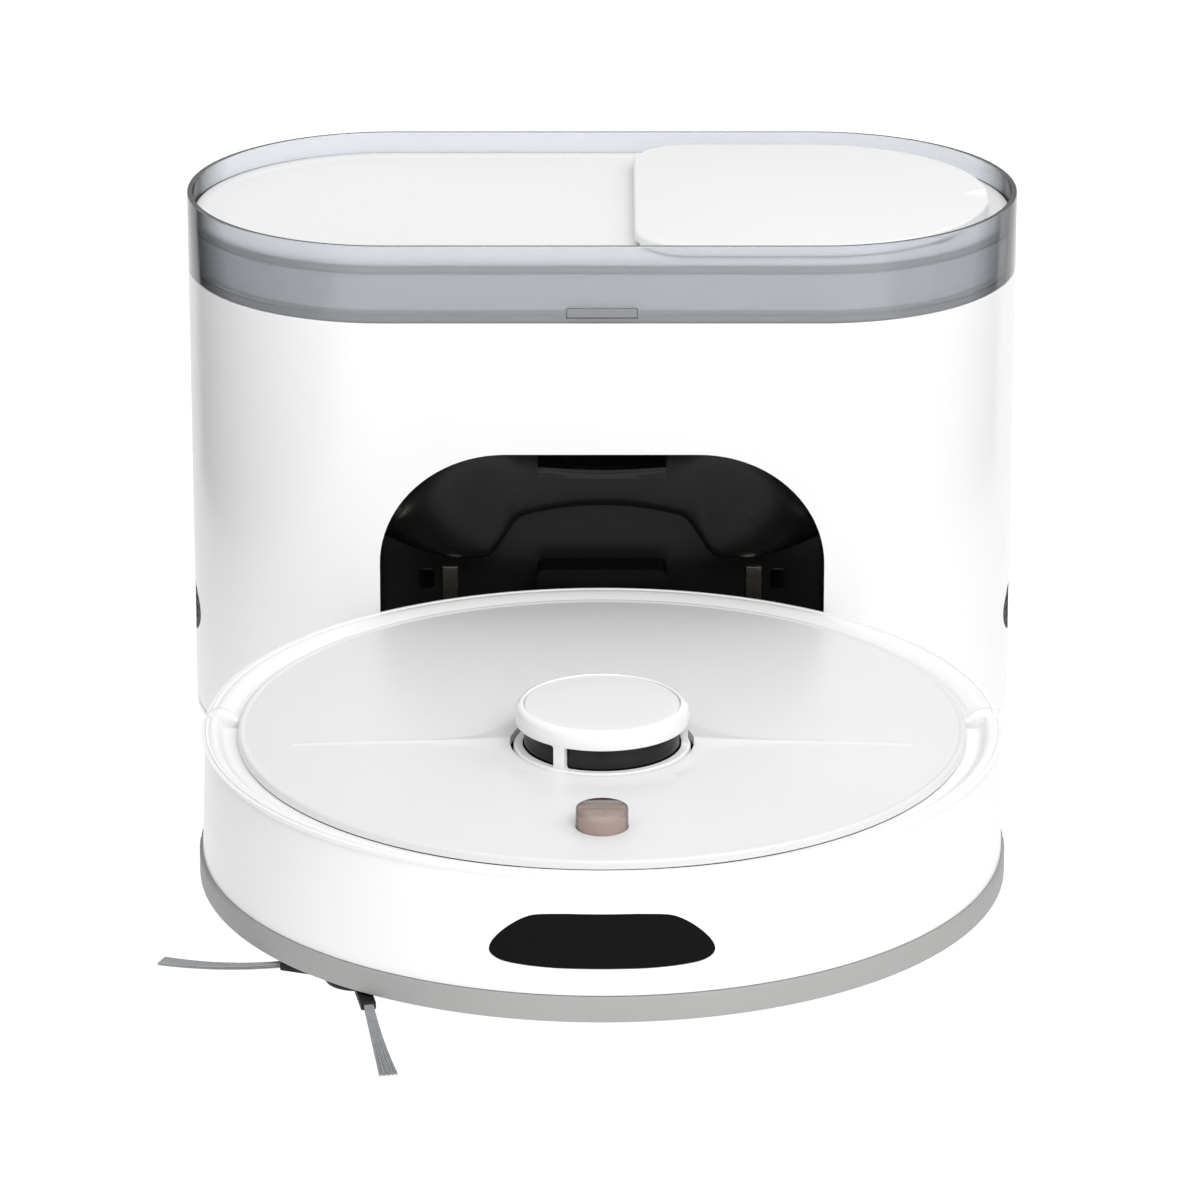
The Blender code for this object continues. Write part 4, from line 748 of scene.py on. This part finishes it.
def sweep(section, centre, angles=None):
    """A closed section of (radius, height) points turned about an upright axis.

    It makes a full turn, or goes through a list of angles in degrees. The section may depend on the angle.
    """
    rows = []
    for angle in angles or [360 * i / 192 for i in range(192)]:
        turn = radians(angle)
        points = section(angle) if callable(section) else section
        rows.append([(centre[0] + r * cos(turn), centre[1] + r * sin(turn), z) for r, z in points])
    return skin(rows, loop=angles is None)


def turned(section, centre, angles=None):
    """A closed section in millimetres, turned in the same way."""
    return sweep([(r * MM, z * MM) for r, z in section], centre, angles)


def part_turn(start, end, fine=1.8, steps=120):
    """Angles over part of a turn, close together next to both ends."""
    near = [start + fine * i / 12 for i in range(12)]
    middle = [start + fine + (end - start - 2 * fine) * i / steps for i in range(steps + 1)]
    return near + middle + [end - fine + fine * i / 12 for i in range(1, 13)]


def end_distance(angle, start, end):
    return radians(min(angle - start, end - angle)) * 170 * MM


def rounding(distance, radius):
    """How far a surface has drawn in at a distance from a rounded end."""
    short = max(0, radius - distance)
    return radius - sqrt(radius * radius - short * short)


def line_of(*points):
    """A smooth line through (radius, height) points in millimetres."""
    return smooth_line([(r * MM, z * MM) for r, z in points])


crest = [(170.1, 74.5), (168.9, 75.9), (167.0, 76.3), (165.0, 75.9), (163.0, 75.1)]
REAR_LINE = line_of((172.5, 22.5), (170.7, 72.0), *crest, (161.2, 74.1), (159.4, 72.7), (157.2, 71.6))
crest = [(168.4, 72.0), (167.4, 72.4), (166.4, 72.0), (165.0, 70.4), (163.6, 69.2)]
TONGUE_LINE = line_of((170.7, 22.5), (168.9, 71.0), *crest, (161.6, 68.5), (160.0, 68.5), (158.6, 68.5))


def rear_section(angle):
    distance = end_distance(angle, REAR_START, 180 - REAR_START)
    if distance < 0:
        return wall_section(TONGUE_LINE, 0, 1.5 * MM)
    bead = 0.7 * MM * sin(pi * min(1, distance / (6 * MM)))
    outside = beside(REAR_LINE, rounding(distance, 1.4 * MM) - bead)
    inside = beside(TONGUE_LINE, 1.5 * MM) if distance < 3 * MM else beside(REAR_LINE, 2.2 * MM)
    return outside + inside[::-1]


steps = part_turn(REAR_START, 180 - REAR_START)
lap = [-0.7 + (REAR_START + 0.65) * i / 6 for i in range(7)]
rear = sweep(rear_section, ROBOT, lap + steps + [180 - angle for angle in lap[::-1]])
outlet = box_outline((-25 * MM, 42 * MM), (25 * MM, 64 * MM), 2.5 * MM)
rear = carve(rear, slab(outlet, ROBOT[1] + 150 * MM, ROBOT[1] + 180 * MM, axis="y"))
piece("rear_wall", rear, GLOSS_ABS, "robot", "white_abs", "rear_shell", sharp=50)
for hand in ("left", "right"):
    dress(f"charging_pad_{hand}", NICKEL, 0.2 * MM)

# ---------------------------------------------------------------- robot: lower strips
# A grey strip runs round the foot of the side wall, in one length on the bumper and one on the rear.
# The strips are soft-touch TPE moulded onto the shells, and the rear one laps inside the bumper's.

STRIP_LOW, STRIP_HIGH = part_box("bumper_strip")
STRIP_RADIUS = STRIP_HIGH.x

# TPE: a mid grey with a matt, slightly mottled skin.
TPE = surface("soft_touch_tpe", ("A0A09F", "A7A7A6"), (0.5, 0.62), 0.5 * MM, 0.02 * MM, IOR=1.48)


def strip_section(outer, inner, edge=0.7 * MM):
    low, high = STRIP_LOW.z, STRIP_HIGH.z
    return rounded_corners([(outer, high), (inner, high), (inner, low), (outer, low)], edge)


bumper_strip = sweep(strip_section(STRIP_RADIUS, STRIP_RADIUS - 3.7 * MM), ROBOT, part_turn(179, 361))
piece("bumper_foot_strip", bumper_strip, TPE, "bumper", "grey_abs", "bumper_strip")
rear_strip = sweep(strip_section(STRIP_RADIUS, 167.9 * MM), ROBOT, part_turn(2.6, 177.4))
lap = strip_section(170.7 * MM, 166.9 * MM)
laps = [sweep(lap, ROBOT, part_turn(-1.3, 5, 0.5, 8)), sweep(lap, ROBOT, part_turn(175, 181.3, 0.5, 8))]
rear_strip = carve(rear_strip, *laps, operation="UNION")
piece("rear_foot_strip", rear_strip, TPE, "robot", "grey_abs", "rear_strip")

# ---------------------------------------------------------------- robot: bumper
# The sprung front half of the side wall rolls over a narrow crest into a deep channel round the disc.
# It is moulded ABS with a black window for the obstacle sensors, and slides back on guides.

BUMPER_ENDS = (177.7, 362.3)
crest = [(171.1, 74.6), (169.9, 76.0), (168.2, 76.2), (166.4, 75.2), (164.8, 73.2), (163.2, 71.8)]
BUMPER_LINE = line_of((173.5, 22.5), (171.7, 72.0), *crest, (161.0, 71.4), (157.2, 71.6))


def bumper_section(angle):
    drawn_in = rounding(end_distance(angle, *BUMPER_ENDS), 0.9 * MM)
    return wall_section(BUMPER_LINE, drawn_in, 2 * MM - drawn_in)


def sensor_outline(grow=0.0):
    """The sensor window seen from the front: long round shoulders over a shallow curved sill."""
    sill = [(18, 34.4), (30, 34.9), (40, 36.0), (44.6, 37.8), (46.4, 40.2)]
    shoulder = [(45.7, 43.4), (43, 47.2), (38.5, 51.4), (32.8, 55.2), (26.7, 57.3), (14, 58.1)]
    right = line_of(*sill, *shoulder)
    return moved_in(right + [(-x, z) for x, z in right[::-1]], -grow)


near, far = ROBOT[1] - 190 * MM, ROBOT[1] - 150 * MM
bumper = sweep(bumper_section, ROBOT, part_turn(*BUMPER_ENDS))
bumper = carve(bumper, slab(sensor_outline(GAP), near, far, axis="y"))
piece("bumper_shell", bumper, GLOSS_ABS, "bumper", "white_abs", "bumper", sharp=50)

lens = wall_section([(173.5 * MM, 22.5 * MM), (171.7 * MM, 72.0 * MM)], 0.1 * MM, 1.8 * MM)
lens = sweep(lens, ROBOT, part_turn(250, 290))
lens = carve(lens, slab(sensor_outline(), near, far, axis="y"), operation="INTERSECT")
# Sensor window: infra-red acrylic, charcoal rather than black where the light falls on it.
SENSOR_ACRYLIC = surface(
    "sensor_acrylic", ("0C0C0C", "111111"), (0.3, 0.4), 3 * MM, 0.002 * MM, Specular_IOR_Level=0.06
)
piece("sensor_window", lens, SENSOR_ACRYLIC, "bumper", "black_gloss", "bumper_window")

# ---------------------------------------------------------------- robot: top disc
# A wide domed disc covers the robot, with a thin ridge across it that flares into the turret's collar.
# It is moulded ABS in a light satin grey, clipped down round its edge.

TURRET = plan_middle(*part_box("lidar_guard"))
BUTTON_LOW, BUTTON_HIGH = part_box("power_button")
BUTTON = plan_middle(BUTTON_LOW, BUTTON_HIGH)
RIDGE_Y = TURRET[1] + 4 * MM
RIDGE_END = 134 * MM
TURRET_HOLE = 39.5 * MM

# Light satin grey ABS: an even eggshell sheen.
SATIN_GREY = surface("satin_grey_abs", ("E9E9E9", "E5E5E6"), (0.32, 0.42), 0.7 * MM, 0.01 * MM, IOR=1.53)


def disc_height(x, y):
    radius = hypot(x - ROBOT[0], y - ROBOT[1])
    return 78.4 * MM - 2.9 * MM * (radius / (154.5 * MM)) ** 2


def ridge(side):
    """Half of the ridge: a hair line that opens out like a trumpet towards the turret."""
    rows = []
    for step in range(81):
        reach = 36 * MM + (RIDGE_END - 36 * MM) * step / 80
        x = ROBOT[0] + side * reach
        half = (1.0 + 23.5 * exp((38.6 * MM - reach) / (13 * MM))) * MM
        tall = (0.55 + 1.35 * exp((38.6 * MM - reach) / (20 * MM))) * MM
        tall *= 1 - rounding(RIDGE_END - reach, 1.2 * MM) / (1.2 * MM)
        top = []
        for i in range(-12, 13):
            y = RIDGE_Y + half * i / 12
            top.append((x, y, disc_height(x, y) + tall * (1 - abs(i) / 12) ** 1.4 - 0.04 * MM))
        rows.append(top + [(x, y, z - 1.5 * MM) for x, y, z in top[::-1]])
    return skin(rows)


def collar_section(angle):
    """The low mound round the turret's hole, which follows the disc's height."""
    turn = radians(angle)
    section = []
    for radius, rise in ((39, 1.3), (40.4, 1.3), (41.2, 1.1), (45.0, -0.04), (45.0, -1.5), (39, -1.5)):
        x = TURRET[0] + radius * MM * cos(turn)
        y = TURRET[1] + radius * MM * sin(turn)
        section.append((radius * MM, disc_height(x, y) + rise * MM))
    return section


top = [(10 * i * MM, disc_height(ROBOT[0] + 10 * i * MM, ROBOT[1])) for i in range(16)]
edge = [(154.5, 75.5), (155.8, 76.0), (157.0, 75.7), (157.6, 74.8), (157.6, 72.5), (157.2, 72.1)]
rim = line_of(*edge, (156.0, 72.0))
under = [(r, z - 2.4 * MM) for r, z in top[::-1]]
cover = carve(
    sweep(top + rim + under, ROBOT), ridge(-1), ridge(1), sweep(collar_section, TURRET), operation="UNION"
)
cover = carve(
    cover,
    slab(circle(TURRET, TURRET_HOLE, 120), 60 * MM, 90 * MM),
    slab(circle(BUTTON, 11.2 * MM), 60 * MM, 90 * MM),
)
piece("top_disc", cover, SATIN_GREY, "robot", "satin_light_grey", "top_cover", sharp=25)

# ---------------------------------------------------------------- robot: lidar turret
# A white guard with three windows caps the spinning range finder, and a satin disc is let into its top.
# The guard is moulded ABS, screwed to the deck; the finder's drum is infra-red polycarbonate.


def window_cutter(middle):
    """A window between two of the guard's three pillars, with round corners."""
    start, end = middle - 55.8, middle + 55.8

    def section(angle):
        draw = rounding(radians(min(angle - start, end - angle)) * 36 * MM, 1.4 * MM)
        low, high = 79.0 * MM + draw, 89.2 * MM - draw
        return [(28 * MM, low), (42 * MM, low), (42 * MM, high), (28 * MM, high)]

    return sweep(section, TURRET, part_turn(start, end, 2.4, 60))


skirt = [(38, 67), (38, 77.9), (37.6, 78.5), (37.0, 78.7), (36.8, 79.1), (36.8, 88.6), (37.0, 89.2)]
cap = [(37.3, 90.4), (37.3, 93.6), (36.9, 95.5), (36.0, 96.8), (34.9, 97.4), (34.0, 97.5), (33.6, 97.1)]
seat = [(33.6, 95.4), (20, 95.4), (0, 95.4)]
inside = [(0, 91), (20, 91), (34.1, 91), (34.1, 64.7), (44, 64.7), (44, 67)]
guard = turned(skirt + cap + seat + inside, TURRET)
guard = carve(guard, *[window_cutter(middle) for middle in (60, 180, 300)])
piece("turret_guard", guard, GLOSS_ABS, "robot", "white_abs", "lidar_guard", sharp=40)

crown = [(33.0, 96.8), (32.0, 96.95), (22, 97.15), (11, 97.25), (0, 97.3)]
inlay = turned([(33.3, 95.7), (33.3, 96.5), *crown, (0, 95.7)], TURRET)
piece("turret_inlay", inlay, SATIN_GREY, "robot", "satin_light_grey", "lidar_cap_inlay", sharp=50)

# Black infra-red polycarbonate: smooth, with the faintest haze.
DRUM = surface(
    "infrared_polycarbonate", ("191919", "212121"), (0.25, 0.35), 2 * MM, 0.002 * MM, Specular_IOR_Level=0.3
)
drum = [(0, 88.4), (32.4, 88.4), (33.1, 88.1), (33.4, 87.4), (33.4, 79.6), (33.1, 79.2), (31, 78.2)]
drum = turned(drum + [(31, 60.6), (0, 60.6)], TURRET)
piece("finder_drum", drum, DRUM, "lidar", "black_gloss", "lidar_rotor")
dress("lidar_motor", STEEL, 0.2 * MM)

# ---------------------------------------------------------------- robot: power button
# A tall clear button with a rose tint stands through the disc, over a ring that would light up.
# It is a moulded acrylic cap pressed onto a light guide; the guide shows a power mark under the top.

# Rose-tinted acrylic: clear, and browner where it is seen edge-on.
ROSE_ACRYLIC = clear_plastic(
    "rose_acrylic", "EAD6CD", "7A6660", (0.05, 0.12), IOR=1.42, Transmission_Weight=0.7
)
# Light guide behind it: a milky grey rose.
ROSE_GUIDE = surface("rose_light_guide", ("CDBBB2", "C3B0A8"), (0.35, 0.45), 1 * MM, 0.004 * MM, IOR=1.53)
# Indicator ring: salmon lacquer.
SALMON = surface("salmon_lacquer", ("D08A72", "C98068"), (0.3, 0.4), 1 * MM, 0.004 * MM, IOR=1.5)

top = BUTTON_HIGH.z / MM
cap = [(0, top), (10.2, top), (10.8, top - 0.25), (11, top - 0.8), (11, 71), (13, 71), (13, 68.5)]
cap = turned(cap + [(9.7, 68.5), (9.7, top - 2.9), (0, top - 2.9)], BUTTON)
piece("button_cap", cap, ROSE_ACRYLIC, "power_button", "rose_clear", "power_button")
guide = turned([(0, top - 3.4), (9.1, top - 3.4), (9.4, top - 3.8), (9.4, 69), (0, 69)], BUTTON)
piece("button_guide", guide, ROSE_GUIDE, "power_button", "rose_clear")
halo = turned([(9.6, top - 2.95), (8.6, top - 2.95), (8.6, top - 3.35), (9.6, top - 3.35)], BUTTON)
piece("button_halo", halo, SALMON, "power_button", "rose_clear")
mark = [(3.4, top - 2.95), (2.9, top - 2.95), (2.9, top - 3.35), (3.4, top - 3.35)]
mark = turned(mark, BUTTON, [120 + 300 * i / 60 for i in range(61)])
tick = (BUTTON[0] - 0.25 * MM, BUTTON[1] + 1.6 * MM, (top - 3.35) * MM)
tick = block(tick, (tick[0] + 0.5 * MM, tick[1] + 2.6 * MM, tick[2] + 0.4 * MM))
mark = carve(mark, tick, operation="UNION")
piece("button_mark", mark, SALMON, "power_button", "rose_clear")

# ---------------------------------------------------------------- robot: insides
# Under the disc are the battery, main board, dust bin with its filter, suction fan and gear cases.
# They are screwed or clipped to the chassis, and none of them shows from outside.

# Blue heat-shrink film: glossy, with slack wrinkles some 8 mm apart.
WRAP = surface("heat_shrink_film", ("27478A", "1F3C78"), (0.25, 0.4), 8 * MM, 0.3 * MM, 20 * MM, IOR=1.54)
dress("battery", WRAP, 1 * MM)
dress("main_board", SOLDER_MASK)
dress("dust_bin", SMOKED_CLEAR, 0.4 * MM)
dress("bin_filter", PAPER, 0.2 * MM)
dress("robot_fan_wheel", BLACK_ABS, 0.15 * MM)
for node in ("robot_fan_housing", "brush_cover", "brush_gearbox", "side_brush_motor"):
    dress(node, GREY_ABS)

# ---------------------------------------------------------------- robot: drive wheels and caster
# Each drive wheel hangs on a sprung gear case, with a lugged rubber tyre on a plastic rim.
# The caster in front is a plain plastic wheel on a swivelling fork.


def lugged_tyre(name):
    """A tyre with 30 cross lugs, turned to run along X."""
    low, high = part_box(name)
    radius, half = (high.z - low.z) / 2, (high.x - low.x) / 2
    middle = Vector(((low.x + high.x) / 2, (low.y + high.y) / 2, (low.z + high.z) / 2))
    inner = 27.3 * MM

    def section(angle):
        lug = 0 if angle % 12 < 7.5 else 1.3 * MM
        top = radius - lug
        side_edge = half - 2 * MM
        near, far = side_edge - 0.3 * MM, side_edge + 0.3 * MM
        tread = [(top - 0.2 * MM, far), (top, near), (top, 0), (top, -near), (top - 0.2 * MM, -far)]
        shoulder = radius - 1.4 * MM
        return [(shoulder, half), *tread, (shoulder, -half), (inner, -half), (inner, half)]

    angles = []
    for lug in range(30):
        angles += [12 * lug + step for step in (0, 2.5, 5, 7, 7.8, 11.7)]
    mesh = sweep(section, (0, 0), [a + 0.1 for a in angles] + [360.1])
    mesh.transform(Matrix.Translation(middle) @ Matrix.Rotation(pi / 2, 4, "Y"))
    return mesh


for hand in ("left", "right"):
    tyre = lugged_tyre(f"wheel_tyre_{hand}")
    piece(f"tyre_{hand}", tyre, NITRILE, f"wheel_{hand}", "rubber", f"wheel_tyre_{hand}")
    dress(f"wheel_rim_{hand}", GREY_ABS)
    dress(f"wheel_arm_{hand}", GREY_ABS)
for node in ("caster_fork", "caster_wheel"):
    dress(node, BLACK_ABS)

# ---------------------------------------------------------------- robot: side brush
# A black hub under the left front carries three flat tufts that sweep out past the bumper.
# The hub is moulded ABS on a square shaft, and each tuft is nylon bristle crimped into its holder.

HUB = (-103 * MM, ROBOT[1] - 117.5 * MM)
ARM_ANGLES = (160, 280, 40)
TUFT_START = 33.6 * MM
TUFT_END = 90.2 * MM

# Nylon bristle: satin mid grey, with each strand a little lighter or darker along its length.
NYLON = surface("nylon_bristle", ("8E9092", "ABADAF"), (0.4, 0.55), 1 * MM, 0.05 * MM, 3 * MM, IOR=1.53)


def arm_place(angle):
    return Matrix.Translation((*HUB, 0)) @ Matrix.Rotation(radians(angle), 4, "Z")


flange = [(3.8, 10.4), (12.8, 10.4), (13.6, 9.9), (13.9, 8.9), (13.9, 7.2), (13.2, 6.2), (10, 5)]
hub = turned([(0, 17), (3.8, 17), *flange, (0, 5)], HUB)
for angle in ARM_ANGLES:
    holder = box_outline((10 * MM, -3.2 * MM), (34 * MM, 3.2 * MM), 0.8 * MM, 3)
    holder = slab(holder, 6.3 * MM, 9.7 * MM, 0.5 * MM)
    holder.transform(arm_place(angle))
    hub = carve(hub, holder, operation="UNION")
piece("brush_hub", hub, BLACK_ABS, "side_brush", "black_matte", "side_brush_hub")


CORNERS = ((-1, 0), (0, -1), (1, 0), (0, 1))


def tuft(angle):
    """A flat tuft of fine strands in three layers, which droops and opens out towards its tip."""
    bm = bmesh.new()
    across, layers = 17, 3
    for strand in range(across * layers):
        layer = strand // across - 1
        side = (strand % across) / (across - 1) * 2 - 1
        side += 0.05 * sin(strand * 2.4)
        stretch = 1 - 0.012 * abs(sin(strand * 5.1))
        rings = []
        for step in range(9):
            share = step / 8
            reach = TUFT_START + (TUFT_END * stretch - TUFT_START) * share
            wide = side * (1.75 + 1.9 * share**1.6) * MM
            height = (1.4 + 6.6 * (1 - share) ** 2) * MM + layer * (0.75 - 0.4 * share) * MM
            thick = (0.24 - 0.04 * share) * MM
            rings.append([bm.verts.new((reach, wide + thick * a, height + thick * b)) for a, b in CORNERS])
        for near, far in zip(rings, rings[1:]):
            for i in range(4):
                bm.faces.new((near[i], near[i - 1], far[i - 1], far[i]))
        bm.faces.new(rings[0])
        bm.faces.new(rings[-1][::-1])
    mesh = mesh_of(bm)
    mesh.transform(arm_place(angle))
    return mesh


for number, angle in enumerate(ARM_ANGLES, 1):
    piece(f"tuft_{number}", tuft(angle), NYLON, "side_brush", "bristle", f"side_bristles_{number}", sharp=60)

# ---------------------------------------------------------------- robot: main brush
# A rubber roller with six curved flaps turns in the slot under the robot, ahead of the dust bin.
# It is moulded in one on a plastic core, with a journal at each end.

BRUSH_LOW, BRUSH_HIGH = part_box("main_brush")
BRUSH = ((BRUSH_LOW.y + BRUSH_HIGH.y) / 2, (BRUSH_LOW.z + BRUSH_HIGH.z) / 2)

rows = []
for step in range(49):
    x = BRUSH_LOW.x + 4 * MM + (BRUSH_HIGH.x - BRUSH_LOW.x - 8 * MM) * step / 48
    lead = 40 * abs(step / 24 - 1)
    row = []
    for flap_number in range(6):
        for offset, radius in ((-9, 11), (-4, 13), (-2.5, 18.3), (2.5, 18.3), (4, 13), (9, 11), (30, 9.5)):
            angle = radians(60 * flap_number + offset + lead)
            y = BRUSH[0] + radius * MM * cos(angle)
            row.append((x, y, BRUSH[1] + radius * MM * sin(angle)))
    rows.append(row)
journal = slab(circle(BRUSH, 4 * MM, 36), BRUSH_LOW.x, BRUSH_HIGH.x, 0.4 * MM, "x")
roller = carve(skin(rows), journal, operation="UNION")
piece("roller_brush", roller, NITRILE, "main_brush", "rubber", "main_brush")

# ---------------------------------------------------------------- studio
# A white light table, one broad softbox overhead on the right, and a long lens from above the front.

# A light table's opal sheet: lit white from below, so no shadow settles on it.
OPAL = surface(
    "opal_light_table",
    ("626262", "5E5E5E"),
    (0.85, 0.95),
    2 * MM,
    0.02 * MM,
    400 * MM,
    Emission_Color=linear("FFFFFF"),
    Emission_Strength=1.02,
)
floor = added("floor", slab(circle((0, 0), 4), -0.01, 0))
floor.data.materials.append(OPAL)


def softbox(name, place, size, power):
    light = bpy.data.lights.new(name, "AREA")
    light.shape = "RECTANGLE"
    light.size, light.size_y = size
    light.energy = power
    obj = added(name, light)
    obj.location = place
    obj.rotation_euler = (Vector((0, -0.1, 0.1)) - Vector(place)).to_track_quat("-Z", "Y").to_euler()
    return obj


def flag(name, x, low_y, high_y, height):
    """A black card that stands beside the object and is left out of the picture, to draw its edges."""
    card = block((x - 2 * MM, low_y, 1 * MM), (x + 2 * MM, high_y, height))
    card.materials.append(BLACK_ABS)
    obj = added(name, card)
    obj.visible_camera = False
    return obj


key = softbox("key_softbox", (0.8, -2.6, 2.7), (2.4, 1.6), 66)
fill = softbox("fill_softbox", (2.4, -0.6, 1.8), (1.4, 1.4), 8)
left_flag = flag("left_flag", -0.42, -0.62, 0.25, 0.22)
right_flag = flag("right_flag", 0.48, -0.5, 0.2, 0.2)
world = bpy.data.worlds.new("studio_air")
world.use_nodes = True
air = world.node_tree.nodes["Background"]
air.inputs["Color"].default_value = linear("FFFFFF")
air.inputs["Strength"].default_value = 0.72
bpy.context.scene.world = world
bpy.context.scene.view_settings.view_transform = "Standard"

camera = bpy.data.cameras.new("camera")
camera.lens = 211.6
camera.shift_x, camera.shift_y = -0.0017, 0.0042
camera.clip_end = 50
eye = added("camera", camera)
eye.location = (0, -3.0855, 1.1747)
eye.rotation_euler = (radians(69.875), 0, 0)
bpy.context.scene.camera = eye
